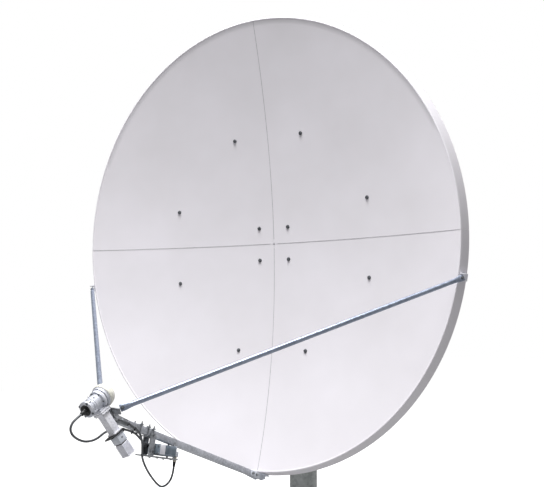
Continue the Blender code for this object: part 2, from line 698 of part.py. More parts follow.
def flange_mesh(flip_u, flip_v, along_u):
    """The stiffening flange behind one seam of a petal."""
    gap = SEAM_GAP / 2
    reach = (DISH.half_u if along_u else DISH.half_v) - 0.012
    steps = 10
    bm = bmesh.new()
    rows = []
    for n in range(steps + 1):
        far = gap + (reach - gap) * n / steps
        row = []
        for near in (gap, gap + FLANGE):
            u, v = (far, near) if along_u else (near, far)
            u, v = flip_u * u, flip_v * v
            w = DISH.depth(u, v)
            row += [bm.verts.new((u, v, w - SKIN / 2 + RIM_W)),
                    bm.verts.new((u, v, w - FLANGE_DEPTH + RIM_W))]
        rows.append(row)
    order = (0, 1, 3, 2)
    for low, high in zip(rows, rows[1:]):
        for a, b in zip(order, order[1:] + order[:1]):
            bm.faces.new((low[a], low[b], high[b], high[a]))
    bm.faces.new([rows[0][k] for k in order])
    bm.faces.new([rows[-1][k] for k in reversed(order)])
    return bm


def petal_bolts(flip_u, flip_v):
    """The three bolt places of one petal: (name, u, v, back face of the boss)."""
    return [
        ("hub", flip_u * INNER_BOLT[0], flip_v * INNER_BOLT[1], HUB_W),
        ("side", flip_u * OUTER_AT, flip_v * OUTER_ACROSS, CROSSBAR_W),
        ("top", flip_u * OUTER_ACROSS, flip_v * OUTER_AT, CROSSBAR_W),
    ]


def make_petals(finishes, dish):
    gelcoat = finishes["dish"]
    for name, flip_u, flip_v in (("upper_right", 1, 1), ("upper_left", -1, 1),
                                 ("lower_left", -1, -1), ("lower_right", 1, -1)):
        petal = put(f"petal_{name}", petal_mesh(flip_u, flip_v), dish, gelcoat)
        for along_u in (True, False):
            join(petal, put(f"flange_{name}_{along_u}", flange_mesh(flip_u, flip_v, along_u), dish,
                            gelcoat, smooth=False))
        for spot, u, v, back in petal_bolts(flip_u, flip_v):
            front = DISH.depth(u, v)
            join(petal, cylinder(f"boss_{name}_{spot}", rim_point(u, v, back + TOUCH),
                                 rim_point(u, v, front - SKIN * 0.7), BOSS_R, dish, gelcoat, 12))
        for spot, u, v, back in petal_bolts(flip_u, flip_v):
            front = DISH.depth(u, v)
            cut(petal, cylinder(f"hole_{name}_{spot}", rim_point(u, v, back - 0.01),
                                rim_point(u, v, front + 0.02), M10_R + HOLE_GAP, dish, gelcoat, 8))
            behind = HUB_PLATE if spot == "hub" else CROSSBAR_DEPTH
            slope = 0.0035 if spot != "hub" else 0.0010
            hex_bolt(f"reflector_bolt_{name}_{spot}", rim_point(u, v, back - behind - 0.016),
                     rim_point(u, v, front + slope), (0, 0, 1), M10_R, M10_HEAD_R, M10_HEAD, dish,
                     finishes["bolt"])


# ---- Feed support ----------------------------------------------------------------------------
def feed_mouth():
    """Where the feed axis starts, from the middle of the rim."""
    return Vector((0, DISH.focus_v - FEED_DROP, DISH.focus_w))


def feed_axis():
    """From the focus to the middle of the dish."""
    return (Vector((0, 0, DISH.depth(0, 0))) - Vector((0, DISH.focus_v, DISH.focus_w))).normalized()


def feed_down():
    """Across the feed axis, away from the beam."""
    return feed_axis().cross(Vector((1, 0, 0)))


def boom_ends():
    """The boom's centre line, feed end first, from the middle of the rim."""
    upper = feed_mouth() + feed_down() * BOOM_END_BELOW + feed_axis() * BOOM_END_FORWARD
    foot = Vector((0, -DISH.half_v - BOOM_FOOT[0], BOOM_FOOT[1]))
    return upper, foot


def boom_frame(dish):
    """At the boom's feed end: Y down the boom, Z out of its top face."""
    upper, foot = boom_ends()
    down = (foot - upper).normalized()
    up = Vector((1, 0, 0)).cross(down)
    turn = Matrix((Vector((1, 0, 0)), down, up)).transposed().to_4x4()
    return frame("boom_frame", dish, Matrix.Translation(rim_point(*upper)) @ turn)


def make_boom(finishes, boom):
    upper, foot = boom_ends()
    run = (foot - upper).length
    half = BOOM / 2
    tube = box("feed_boom", (-half, 0, -half), (half, run, half), boom, finishes["tube"])
    inner = half - BOOM_WALL
    cut(tube, box("boom_bore", (-inner, -0.01, -inner), (inner, run + 0.01, inner), boom,
                  finishes["tube"]))


def make_boom_foot(finishes, dish):
    """Clasps the boom's lower end and bolts under the rim wall."""
    steel = finishes["galvanised"]
    upper, foot = boom_ends()
    down = (foot - upper).normalized()
    up = Vector((1, 0, 0)).cross(down)
    low = -DISH.half_v
    back = -WALL_DEPTH
    lean = WALL_FLARE / WALL_DEPTH
    drop = 0.0015

    def under_wall(w, more):
        return low + w * lean - drop - more

    pad = [(under_wall(back, 0), back + RIM_W), (under_wall(-0.004, 0), -0.004 + RIM_W),
           (under_wall(-0.004, 0.006), -0.004 + RIM_W), (under_wall(back, 0.006), back + RIM_W)]
    bracket = prism("boom_foot_bracket", pad, -0.045, 0.045, "YZ", dish, steel)
    corners = []
    for reach, height in ((-0.090, 0.013), (-0.004, 0.013)):
        point = foot + down * reach + up * height
        corners.append((point.y, point.z + RIM_W))
    for reach, height in ((0.030, -0.022), (-0.090, -0.015)):
        point = foot + down * reach + up * height
        corners.append((point.y, point.z + RIM_W))
    corners.insert(2, (under_wall(-0.004, 0.003), -0.004 + RIM_W))
    corners.insert(3, (under_wall(back, 0.003), back + RIM_W))
    corners.insert(4, (under_wall(back, 0.020), back + RIM_W))
    for side in (-1, 1):
        near, far = sorted((side * CHEEK_X, side * (CHEEK_X + CHEEK)))
        join(bracket, prism(f"foot_cheek_{side}", corners, near, far, "YZ", dish, steel))


def make_feed_bracket(finishes, place):
    """Joins the boom's feed end to the clamp ring and the two side struts."""
    steel = finishes["galvanised"]
    tube_down, tube_out = BOOM_END_BELOW, BOOM_END_FORWARD
    upper, foot = boom_ends()
    down = (foot - upper).normalized()
    run_y, run_z = down.dot(feed_down()), down.dot(feed_axis())
    half = BOOM / 2

    def on_boom(reach, height):
        return (tube_down + run_y * reach - run_z * height, tube_out + run_z * reach + run_y * height)

    outline = [(CAP_R + 0.002, -0.0034), (0.105, -0.0034), on_boom(-0.004, -half - 0.001),
               on_boom(0.062, -half + 0.002), on_boom(0.062, half - 0.002),
               on_boom(-0.004, half + 0.001), (CAP_R + 0.036, 0.020), (CAP_R + 0.002, 0.006)]
    pad = box("feed_bracket", (-0.024, CAP_R + 0.002, -0.0034),
              (0.024, 0.105, 0.0020), place, steel)
    for side in (-1, 1):
        near, far = sorted((side * CHEEK_X, side * (CHEEK_X + CHEEK)))
        join(pad, prism(f"feed_cheek_{side}", outline, near, far, "YZ", place, steel))
    port = Vector((CHEEK_X + CHEEK + 0.0069, 0.112, 0.008))
    way = Vector((0, run_y, run_z))
    join(pad, cylinder("lead_port", port - way * 0.009, port + way * 0.009, 0.008, place, steel,
                       12))
    join(pad, box("strut_plate", (-STRUT_FEED_X - 0.016, 0.060, 0.0050),
                  (STRUT_FEED_X + 0.016, 0.090, 0.0110), place, steel))


def make_clamp_ring(finishes, place):
    """The ring that the feed's neck turns in, with a lug bolted to the feed bracket."""
    steel = finishes["cast"]
    ring = turned("feed_clamp_ring", [(RING_R, -0.004 - RING), (RING_R, -0.004),
                                      (NECK_R + RUN, -0.004), (NECK_R + RUN, -0.004 - RING)],
                  (0, 0, 0), (0, 0, 1), place, steel)
    join(ring, box("ring_lug", (-0.020, RING_R - 0.004, -0.004 - RING), (0.020, 0.080, -0.004),
                   place, steel))


def rim_side(side):
    """Where a strut meets the rim's edge, and the way out of it in the rim plane."""
    a = STRUT_RIM_ANGLE
    edge = Vector((side * DISH.half_u * math.cos(a), -DISH.half_v * math.sin(a), 0))
    out = Vector((side * math.cos(a) / DISH.half_u, -math.sin(a) / DISH.half_v, 0)).normalized()
    return edge, out


def strut_ends(side):
    """Feed end and rim end of a side strut, from the middle of the rim."""
    plate = feed_mouth() + feed_down() * 0.0750 + feed_axis() * 0.0290
    near = Vector((side * STRUT_FEED_X, plate.y, plate.z))
    edge, out = rim_side(side)
    return near, edge + out * STRUT_OUT - Vector((0, 0, STRUT_BEHIND))


def make_struts(finishes, dish):
    for side, name in ((-1, "left"), (1, "right")):
        near, far = strut_ends(side)
        cylinder(f"strut_{name}", rim_point(*near), rim_point(*far), STRUT_R, dish,
                 finishes["tube"], sides=12)
        make_strut_foot(finishes, dish, side, name)


def make_strut_foot(finishes, dish, side, name):
    """A plate on the rim wall's outer face, with an ear beside the strut's end."""
    steel = finishes["galvanised"]
    edge, out = rim_side(side)
    turn = Matrix((out, Vector((0, 0, 1)).cross(out), Vector((0, 0, 1)))).transposed().to_4x4()
    place = frame(f"strut_foot_frame_{name}", dish, Matrix.Translation(rim_point(*edge)) @ turn)
    front, lean = -0.004, WALL_FLARE / WALL_DEPTH
    near, far = (lean * d + FOOT_GAP + 0.0010 for d in (-front, WALL_DEPTH))
    outline = [(near, front), (far, -WALL_DEPTH), (far + FOOT_PLATE, -WALL_DEPTH + 0.001),
               (near + FOOT_PLATE, front)]
    foot = prism(f"strut_foot_{name}", outline, -FOOT_HALF, FOOT_HALF, "XZ", place, steel)
    ear = [(near + FOOT_PLATE / 2, front - 0.001), (far + FOOT_PLATE / 2, -WALL_DEPTH + 0.006),
           (STRUT_OUT + 0.0120, -0.024), (STRUT_OUT + 0.0120, -0.002),
           (STRUT_OUT, 0.004), (near + FOOT_PLATE, 0.002)]
    low, high = sorted((side * (STRUT_R + 0.004), side * (STRUT_R + 0.008)))
    join(foot, prism(f"strut_ear_{name}", ear, low, high, "XZ", place, steel))


# ---- Feed ------------------------------------------------------------------------------------
def feed_matrix(skew):
    """The feed frame in the dish frame, with its arm turned by skew from straight down."""
    axis, down = feed_axis(), feed_down()
    turn = Matrix((Vector((1, 0, 0)), down, axis)).transposed().to_4x4()
    return Matrix.Translation(rim_point(*feed_mouth())) @ turn @ Matrix.Rotation(-skew, 4, "Z")


def make_feed(finishes, feed):
    cream, cast, white = finishes["cream"], finishes["cast"], finishes["white"]
    rim = -0.0030
    dome = [(CAP_R * math.cos(t), 0.010 + 0.045 * math.sin(t))
            for t in (math.radians(15 * k) for k in range(1, 6))]
    hollow = [(r - CAP_WALL * 0.9, z - CAP_WALL * 0.9) for r, z in dome]
    turned("horn_cap", [(0, 0.055)] + list(reversed(dome)) + [(CAP_R, 0.010), (CAP_R, rim),
           (CAP_R - CAP_WALL, rim), (CAP_R - CAP_WALL, 0.008)] + hollow + [(0, 0.0525)],
           (0, 0, 0), (0, 0, 1), feed, cream, sides=28)
    mouth = CAP_R - CAP_WALL - TOUCH
    back = -0.028
    turned("feed_horn", [(mouth, rim), (mouth, 0.004), (mouth - 0.004, 0.004), (0.0155, -0.012),
                         (0.0155, back), (0.041, back), (0.041, back + 0.008),
                         (NECK_R, back + 0.008), (NECK_R, rim)],
           (0, 0, 0), (0, 0, 1), feed, white, sides=28)
    end = -OMT_END
    omt = turned("omt_body", [(0, back - TOUCH), (0.041, back - TOUCH), (0.041, back - 0.007),
                              (OMT_R, back - 0.009), (OMT_R, end + 0.014), (0.037, end + 0.012),
                              (0.037, end + 0.004), (0.030, end), (0, end)],
                 (0, 0, 0), (0, 0, 1), feed, cast, sides=24)
    half = FILTER / 2
    join(omt, box("omt_port", (-half, 0.010, ARM_AT - half + 0.002), (half, 0.0415,
                  ARM_AT + half - 0.010), feed, cast))
    gland_end = end - 0.031
    turned("transmit_gland", [(0, end - TOUCH), (0.0125, end - TOUCH), (0.0125, end - 0.012),
                              (0.0100, end - 0.014), (0.0085, gland_end), (0, gland_end)],
           (0, 0, 0), (0, 0, 1), feed, finishes["black"], sides=16)
    make_filter_arm(finishes, feed)


def make_filter_arm(finishes, feed):
    """The receive side: port flange, filter, weather plate and low-noise converter."""
    white = finishes["white"]
    half = FILTER / 2
    port = 0.042
    flange = 0.028
    flange_end = port + 0.016
    filter_end = flange_end + FILTER_RUN
    body = box("receive_filter", (-half, port, ARM_AT - half), (half, filter_end, ARM_AT + half),
               feed, white)
    join(body, box("port_flange", (-flange, port, ARM_AT - flange), (flange, flange_end,
                   ARM_AT + flange), feed, white))
    plate_start = filter_end + TOUCH
    plate_end = plate_start + 0.004
    box("weather_plate", (-PLATE_WIDE / 2, plate_start, ARM_AT - PLATE_LONG / 2 - 0.010),
        (PLATE_WIDE / 2, plate_end, ARM_AT + PLATE_LONG / 2 - 0.010), feed, finishes["black"])
    start = plate_end + TOUCH
    wide = LNB_WIDE / 2
    lnb = box("low_noise_converter", (-wide, start, ARM_AT - wide), (wide, start + 0.042,
              ARM_AT + wide), feed, white, bevel=0.002)
    slim = wide - 0.003
    join(lnb, box("lnb_neck", (-slim, start + 0.038, ARM_AT - slim), (slim, start + 0.048,
                  ARM_AT + slim), feed, white),
         box("lnb_fins", (-wide, start + 0.046, ARM_AT - wide), (wide, start + LNB_RUN,
             ARM_AT + wide), feed, white, bevel=0.002))


# ---- Block up-converter ----------------------------------------------------------------------
def buc_frame(boom):
    turn = Matrix.Rotation(BUC_TILT, 4, "X")
    return frame("buc_frame", boom, Matrix.Translation((0, BUC_ALONG, -BUC_DROP)) @ turn)


def make_buc(finishes, place):
    """The housing on its rail, with a port at the feed end and an elbow port at the other."""
    grey, steel = finishes["grey"], finishes["galvanised"]
    housing = box("buc_housing", (-BUC_X, BUC_Y[0], BUC_Z[0]), (BUC_X, BUC_Y[1], BUC_Z[1]), place,
                  grey, bevel=0.003)
    front = cylinder("buc_front_port", (0, BUC_Y[0] - 0.014, FRONT_PORT_Z),
                     (0, BUC_Y[0] + 0.010, FRONT_PORT_Z), PORT_R, place, grey, 12)
    elbow = box("buc_elbow", (-0.012, BUC_Y[1] - 0.005, 0.010),
                (0.012, ELBOW_AT + 0.012, 0.034), place, grey)
    rear = cylinder("buc_rear_port", (0, ELBOW_AT, -0.004), (0, ELBOW_AT, 0.015), PORT_R, place,
                    grey, 12)
    join(housing, front, elbow, rear)
    rail = box("buc_bracket", (-0.032, RAIL_Y[0], -RAIL), (0.032, RAIL_Y[1], 0), place, steel)
    for side in (-1, 1):
        near, far = sorted((side * CHEEK_X, side * (CHEEK_X + CHEEK)))
        for n, (first, last, top) in enumerate(HANGERS):
            join(rail, box(f"hanger_{side}_{n}", (near, first, -RAIL / 2), (far, last, top), place,
                           steel))


# ---- Elevation jack --------------------------------------------------------------------------
def make_jack(finishes, head):
    pin_y, pin_z = rod_pin_place()
    low_y, low_z = trunnion_place()
    down = Vector((0, low_y - pin_y, low_z - pin_z)).normalized()
    top = Vector((JACK_X, pin_y, pin_z))
    rod_frame = frame("rod_frame", head, Matrix.Translation(top))
    rod = cylinder("elevation_rod", down * 0.010, down * ROD_RUN, ROD_R, rod_frame,
                   finishes["bolt"], sides=16)
    half = EYE_WIDTH / 2
    join(rod, cylinder("rod_eye", (-half, 0, 0), (half, 0, 0), EYE_R, rod_frame, finishes["bolt"]))
    cut(rod, cylinder("rod_eye_hole", (-half - 0.01, 0, 0), (half + 0.01, 0, 0),
                      JACK_PIN_R + RUN, rod_frame, finishes["bolt"]))
    block_frame = frame("trunnion_frame", head,
                        Matrix.Translation((JACK_X, low_y, low_z)) @ x_keeping(down))
    side = BLOCK / 2
    wide = BLOCK_WIDTH / 2
    steel = finishes["galvanised"]
    block = box("trunnion_block", (-wide, -side, -side), (wide, side, side), block_frame, steel,
                bevel=0.002)
    pin = wide + LUG_GAP + LUG + 0.003
    for way in (-1, 1):
        join(block, cylinder(f"trunnion_pin_{way}", (way * (wide - 0.003), 0, 0), (way * pin, 0, 0),
                             JACK_PIN_R, block_frame, steel))
    bore = ROD_R + HOLE_GAP
    cut(block, cylinder("trunnion_bore", (0, 0, -0.05), (0, 0, 0.05), bore, block_frame, steel))
    for name, way in (("upper", -1), ("lower", 1)):
        start = side + TOUCH
        turned(f"jack_nut_{name}", [(JACK_NUT_R, start), (JACK_NUT_R, start + JACK_NUT),
                                    (bore, start + JACK_NUT), (bore, start)],
               (0, 0, 0), (0, 0, way), block_frame, finishes["bolt"], sides=12)


def x_keeping(direction):
    """A turn about X that takes +Z to direction, which lies in the YZ plane."""
    return Matrix.Rotation(math.atan2(-direction.y, direction.z), 4, "X")


# ---- Leads -----------------------------------------------------------------------------------
def smooth_route(route, step):
    """Points a step apart along a smooth curve through the route's own points."""
    points = [Vector(p) for p in route]
    ends = [points[0] * 2 - points[1]] + points + [points[-1] * 2 - points[-2]]
    fine = []
    for a, b, c, d in zip(ends, ends[1:], ends[2:], ends[3:]):
        for k in range(12):
            t = k / 12
            fine.append(0.5 * ((2 * b) + (c - a) * t + (2 * a - 5 * b + 4 * c - d) * t**2
                               + (3 * b - a - 3 * c + d) * t**3))
    fine.append(points[-1])
    total = sum((q - p).length for p, q in zip(fine, fine[1:]))
    count = max(2, round(total / step))
    spaced, walked, target = [fine[0]], 0.0, total / count
    for p, q in zip(fine, fine[1:]):
        run = (q - p).length
        while len(spaced) < count and walked + run >= target * len(spaced):
            share = (target * len(spaced) - walked) / run
            spaced.append(p.lerp(q, share))
        walked += run
    return spaced + [fine[-1]]


def make_lead(name, route, material, dish):
    curve = bpy.data.curves.new(name, "CURVE")
    curve.dimensions = "3D"
    curve.bevel_depth = LEAD_R
    curve.bevel_resolution = 2
    curve.use_fill_caps = True
    points = smooth_route(route, LEAD_STEP)
    spline = curve.splines.new("POLY")
    spline.points.add(len(points) - 1)
    for place, point in zip(spline.points, points):
        place.co = (*rim_point(*point), 1.0)
    curve.materials.append(material)
    lead = bpy.data.objects.new(name, curve)
    bpy.context.scene.collection.objects.link(lead)
    lead.parent = dish
    return lead


def main():
    clear_scene()
    finishes = make_finishes()
    make_mast(finishes)
    head = frame("head_frame", None, Matrix.Translation((0, 0, PIVOT_HEIGHT)))
    make_collar(finishes, head)
    make_head(finishes, head)
    make_push_bolts(finishes, head)
    make_pivot(finishes, head)
    make_jack(finishes, head)
    dish = frame("dish_frame", head, Matrix.Rotation(math.pi / 2 - DISH_TILT, 4, "X"))
    make_yoke(finishes, dish)
    make_hub(finishes, dish)
    make_arms(finishes, dish)
    make_petals(finishes, dish)
    boom = boom_frame(dish)
    make_boom(finishes, boom)
    make_boom_foot(finishes, dish)
    still = frame("feed_seat_frame", dish, feed_matrix(0.0))
    make_feed_bracket(finishes, still)
    make_clamp_ring(finishes, still)
    make_struts(finishes, dish)
    make_feed(finishes, frame("feed_frame", dish, feed_matrix(SKEW)))
    make_buc(finishes, buc_frame(boom))
    make_lead("transmit_lead", TRANSMIT_ROUTE, finishes["black"], dish)
    make_lead("receive_lead", RECEIVE_ROUTE, finishes["black"], dish)


main()
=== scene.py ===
"""Looks of a 2.4 m offset-fed earth-station antenna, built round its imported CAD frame.

Everything is in metres in the row frame: +Z up, the reflector looks towards -Y. Sub-assemblies are
classes that hold their sizes and build their meshes; finishes are frozen dataclasses. What repeats
or follows a rule is grown by Geometry Nodes trees and kept as plain meshes.
"""

import json
import logging
import math
from dataclasses import dataclass, field
from enum import Enum
from typing import Any, Iterable, Sequence

import bmesh
import bpy
from mathutils import Matrix, Vector

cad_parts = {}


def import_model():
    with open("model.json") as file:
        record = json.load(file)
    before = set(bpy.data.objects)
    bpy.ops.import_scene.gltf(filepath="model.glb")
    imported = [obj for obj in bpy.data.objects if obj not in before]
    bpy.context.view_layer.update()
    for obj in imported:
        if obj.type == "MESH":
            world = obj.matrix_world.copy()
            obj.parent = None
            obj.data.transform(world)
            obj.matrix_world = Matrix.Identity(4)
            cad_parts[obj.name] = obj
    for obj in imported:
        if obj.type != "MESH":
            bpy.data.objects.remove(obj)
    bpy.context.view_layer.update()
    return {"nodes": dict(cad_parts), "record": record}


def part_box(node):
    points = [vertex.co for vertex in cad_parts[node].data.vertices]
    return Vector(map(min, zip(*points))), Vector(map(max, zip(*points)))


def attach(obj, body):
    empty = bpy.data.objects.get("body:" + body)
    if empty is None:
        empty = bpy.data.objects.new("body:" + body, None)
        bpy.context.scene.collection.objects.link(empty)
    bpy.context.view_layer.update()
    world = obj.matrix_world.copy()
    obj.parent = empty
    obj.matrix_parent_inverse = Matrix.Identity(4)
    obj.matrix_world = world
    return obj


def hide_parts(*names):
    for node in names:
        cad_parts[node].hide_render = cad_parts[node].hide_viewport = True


logging.basicConfig(level=logging.INFO, format="%(message)s")
log = logging.getLogger("antenna")

Point = tuple[float, float, float]
Spot = Sequence[float]
Outline = Sequence[tuple[float, float]]
Tree = bpy.types.NodeTree
Node = bpy.types.Node
Socket = bpy.types.NodeSocket
Solid = bmesh.types.BMesh
Z: Point = (0.0, 0.0, 1.0)

FRAME = "elevation_frame"
STEEL = "galvanised_steel"
FASTENER = "plated_fastener"

CLEARANCE = 0.0004  # between pieces that seat on each other
SHARP = math.radians(33)  # edges steeper than this stay sharp in the shading


# ---- Node and colour tools ---------------------------------------------------------------------
def linear(code: str) -> tuple[float, float, float, float]:
    """Turns an sRGB hex colour into the linear RGBA that shaders take.

    Args:
        code: six hex digits, with or without a leading "#".

    Returns:
        Linear red, green, blue and an alpha of 1.
    """
    digits = code.lstrip("#")
    channels = (int(digits[k : k + 2], 16) / 255 for k in (0, 2, 4))
    return (*((c / 12.92 if c <= 0.04045 else ((c + 0.055) / 1.055) ** 2.4) for c in channels), 1.0)


def add(tree: Tree, kind: str, settings: dict[str, Any] | None = None,
        inputs: dict[Any, Any] | None = None) -> Node:
    """Adds one node with its settings, and sets or links its inputs.

    Args:
        tree: the tree that gets the node.
        kind: the node's type name.
        settings: attribute values of the node.
        inputs: a value or an output socket for each input, by name or number.

    Returns:
        The new node.
    """
    node = tree.nodes.new(kind)
    for key, value in (settings or {}).items():
        setattr(node, key, value)
    for key, value in (inputs or {}).items():
        if isinstance(value, Socket):
            tree.links.new(value, node.inputs[key])
        else:
            node.inputs[key].default_value = value
    return node


def shade(tree: Tree, factor: Socket, low: str, high: str,
          start: float = 0.3, end: float = 0.7) -> Socket:
    """Spreads a pattern between two colours.

    Args:
        tree: the material's tree.
        factor: the pattern, about 0 to 1.
        low: hex colour where the pattern is at start or below.
        high: hex colour where it is at end or above.
        start: pattern value of the low colour.
        end: pattern value of the high colour.

    Returns:
        The colour output.
    """
    ramp = add(tree, "ShaderNodeValToRGB", inputs={"Fac": factor})
    first, last = ramp.color_ramp.elements
    first.position, last.position = start, end
    first.color, last.color = linear(low), linear(high)
    return ramp.outputs["Color"]


# ---- Finishes ----------------------------------------------------------------------------------
@dataclass(frozen=True)
class Finish:
    """What every finish has: a name, its two nearest colours and how it reflects."""

    name: str
    low: str
    high: str
    roughness: float = 0.5
    metallic: float = 0.0

    def material(self) -> bpy.types.Material:
        """The material, made the first time that it is asked for."""
        found = bpy.data.materials.get(self.name)
        if found:
            return found
        made = bpy.data.materials.new(self.name)
        made.use_nodes = True
        tree = made.node_tree
        shader = tree.nodes["Principled BSDF"]
        shader.inputs["Metallic"].default_value = self.metallic
        shader.inputs["Roughness"].default_value = self.roughness
        place = add(tree, "ShaderNodeTexCoord").outputs["Object"]
        self.dress(tree, shader, place)
        return made

    def dress(self, tree: Tree, shader: Node, place: Socket) -> None:
        """Adds the finish's own pattern; each kind of finish has its own.

        Args:
            tree: the material's tree.
            shader: its Principled shader.
            place: Object coordinates.
        """
        raise NotImplementedError

    def grain(self, tree: Tree, shader: Node, height: Socket, rise: float) -> None:
        """Raises the surface by a pattern.

        Args:
            tree: the material's tree.
            shader: the Principled shader.
            height: the pattern.
            rise: its height in metres.
        """
        bump = add(tree, "ShaderNodeBump", inputs={"Height": height, "Distance": rise,
                                                  "Strength": 1.0})
        tree.links.new(bump.outputs["Normal"], shader.inputs["Normal"])


@dataclass(frozen=True)
class Gelcoat(Finish):
    """Matt white gelcoat on compression-moulded polyester: broad tone clouds and a fine stipple."""

    cloud: float = 0.55
    stipple: float = 0.0035

    def dress(self, tree: Tree, shader: Node, place: Socket) -> None:
        """Clouds half a metre wide tint it; a 3.5 mm stipple breaks its sheen."""
        clouds = add(tree, "ShaderNodeTexNoise", inputs={
            "Vector": place, "Scale": 1 / self.cloud, "Detail": 3.0, "Roughness": 0.55})
        tree.links.new(shade(tree, clouds.outputs["Fac"], self.low, self.high),
                       shader.inputs["Base Color"])
        skin = add(tree, "ShaderNodeTexNoise", inputs={
            "Vector": place, "Scale": 1 / self.stipple, "Detail": 2.0})
        self.grain(tree, shader, skin.outputs["Fac"], 0.00012)


@dataclass(frozen=True)
class Galvanised(Finish):
    """Hot-dip galvanised steel: grey zinc crystals a centimetre wide, dulled by weather."""

    spangle: float = 0.011

    def dress(self, tree: Tree, shader: Node, place: Socket) -> None:
        """Each crystal has its own tone; thin runs and dull patches lie over them."""
        cells = add(tree, "ShaderNodeTexVoronoi", {"feature": "SMOOTH_F1"}, {
            "Vector": place, "Scale": 1 / self.spangle, "Smoothness": 0.25})
        split = add(tree, "ShaderNodeSeparateColor", inputs={0: cells.outputs["Color"]})
        dull = add(tree, "ShaderNodeTexNoise", inputs={"Vector": place, "Scale": 14.0,
                                                      "Detail": 5.0})
        both = add(tree, "ShaderNodeMath", {"operation": "MULTIPLY_ADD"}, {
            0: split.outputs[0], 1: 0.45, 2: dull.outputs["Fac"]})
        tree.links.new(shade(tree, both.outputs[0], self.low, self.high, 0.42, 0.98),
                       shader.inputs["Base Color"])
        rough = add(tree, "ShaderNodeMapRange", inputs={
            "Value": both.outputs[0], "From Min": 0.4, "From Max": 1.0,
            "To Min": self.roughness + 0.12, "To Max": self.roughness - 0.08})
        tree.links.new(rough.outputs[0], shader.inputs["Roughness"])
        self.grain(tree, shader, dull.outputs["Fac"], 0.0006)


@dataclass(frozen=True)
class Plated(Finish):
    """Bright zinc plating on drawn or turned steel: faint lines, fingermarks and a cold tint."""

    lines: float = 0.0009

    def dress(self, tree: Tree, shader: Node, place: Socket) -> None:
        """Broad marks change its shine; fine drawn lines change its tone."""
        marks = add(tree, "ShaderNodeTexNoise", inputs={"Vector": place, "Scale": 45.0,
                                                       "Detail": 4.0})
        fine = add(tree, "ShaderNodeTexNoise", inputs={
            "Vector": place, "Scale": 1 / (4 * self.lines), "Detail": 1.0})
        mixed = add(tree, "ShaderNodeMath", {"operation": "MULTIPLY_ADD"}, {
            0: fine.outputs["Fac"], 1: 0.35, 2: marks.outputs["Fac"]})
        tree.links.new(shade(tree, mixed.outputs[0], self.low, self.high, 0.45, 0.9),
                       shader.inputs["Base Color"])
        rough = add(tree, "ShaderNodeMapRange", inputs={
            "Value": marks.outputs["Fac"], "From Min": 0.3, "From Max": 0.7,
            "To Min": self.roughness - 0.08, "To Max": self.roughness + 0.10})
        tree.links.new(rough.outputs[0], shader.inputs["Roughness"])
        self.grain(tree, shader, fine.outputs["Fac"], 0.00006)


@dataclass(frozen=True)
class Coated(Finish):
    """Powder coat or moulded plastic: an orange-peel skin with cloudy tone and shine."""

    peel: float = 0.0022
    rise: float = 0.00010

    def dress(self, tree: Tree, shader: Node, place: Socket) -> None:
        """A peel of about 2 mm, with cloudy tone and shine."""
        cloud = add(tree, "ShaderNodeTexNoise", inputs={"Vector": place, "Scale": 22.0,
                                                       "Detail": 4.0})
        tree.links.new(shade(tree, cloud.outputs["Fac"], self.low, self.high, 0.35, 0.65),
                       shader.inputs["Base Color"])
        rough = add(tree, "ShaderNodeMapRange", inputs={
            "Value": cloud.outputs["Fac"], "From Min": 0.3, "From Max": 0.7,
            "To Min": self.roughness + 0.05, "To Max": self.roughness - 0.05})
        tree.links.new(rough.outputs[0], shader.inputs["Roughness"])
        skin = add(tree, "ShaderNodeTexNoise", inputs={"Vector": place, "Scale": 1 / self.peel,
                                                      "Detail": 1.0})
        self.grain(tree, shader, skin.outputs["Fac"], self.rise)


@dataclass(frozen=True)
class Cast(Finish):
    """Sand-cast and part-machined aluminium: a pebbled 1.2 mm skin and soft grey clouds."""

    pebble: float = 0.0012

    def dress(self, tree: Tree, shader: Node, place: Socket) -> None:
        """Pebbles from the sand, and soft clouds of darker and lighter tone."""
        cloud = add(tree, "ShaderNodeTexNoise", inputs={"Vector": place, "Scale": 30.0,
                                                       "Detail": 5.0})
        tree.links.new(shade(tree, cloud.outputs["Fac"], self.low, self.high, 0.35, 0.7),
                       shader.inputs["Base Color"])
        pebbles = add(tree, "ShaderNodeTexVoronoi", inputs={"Vector": place,
                                                           "Scale": 1 / self.pebble})
        self.grain(tree, shader, pebbles.outputs["Distance"], 0.00015)


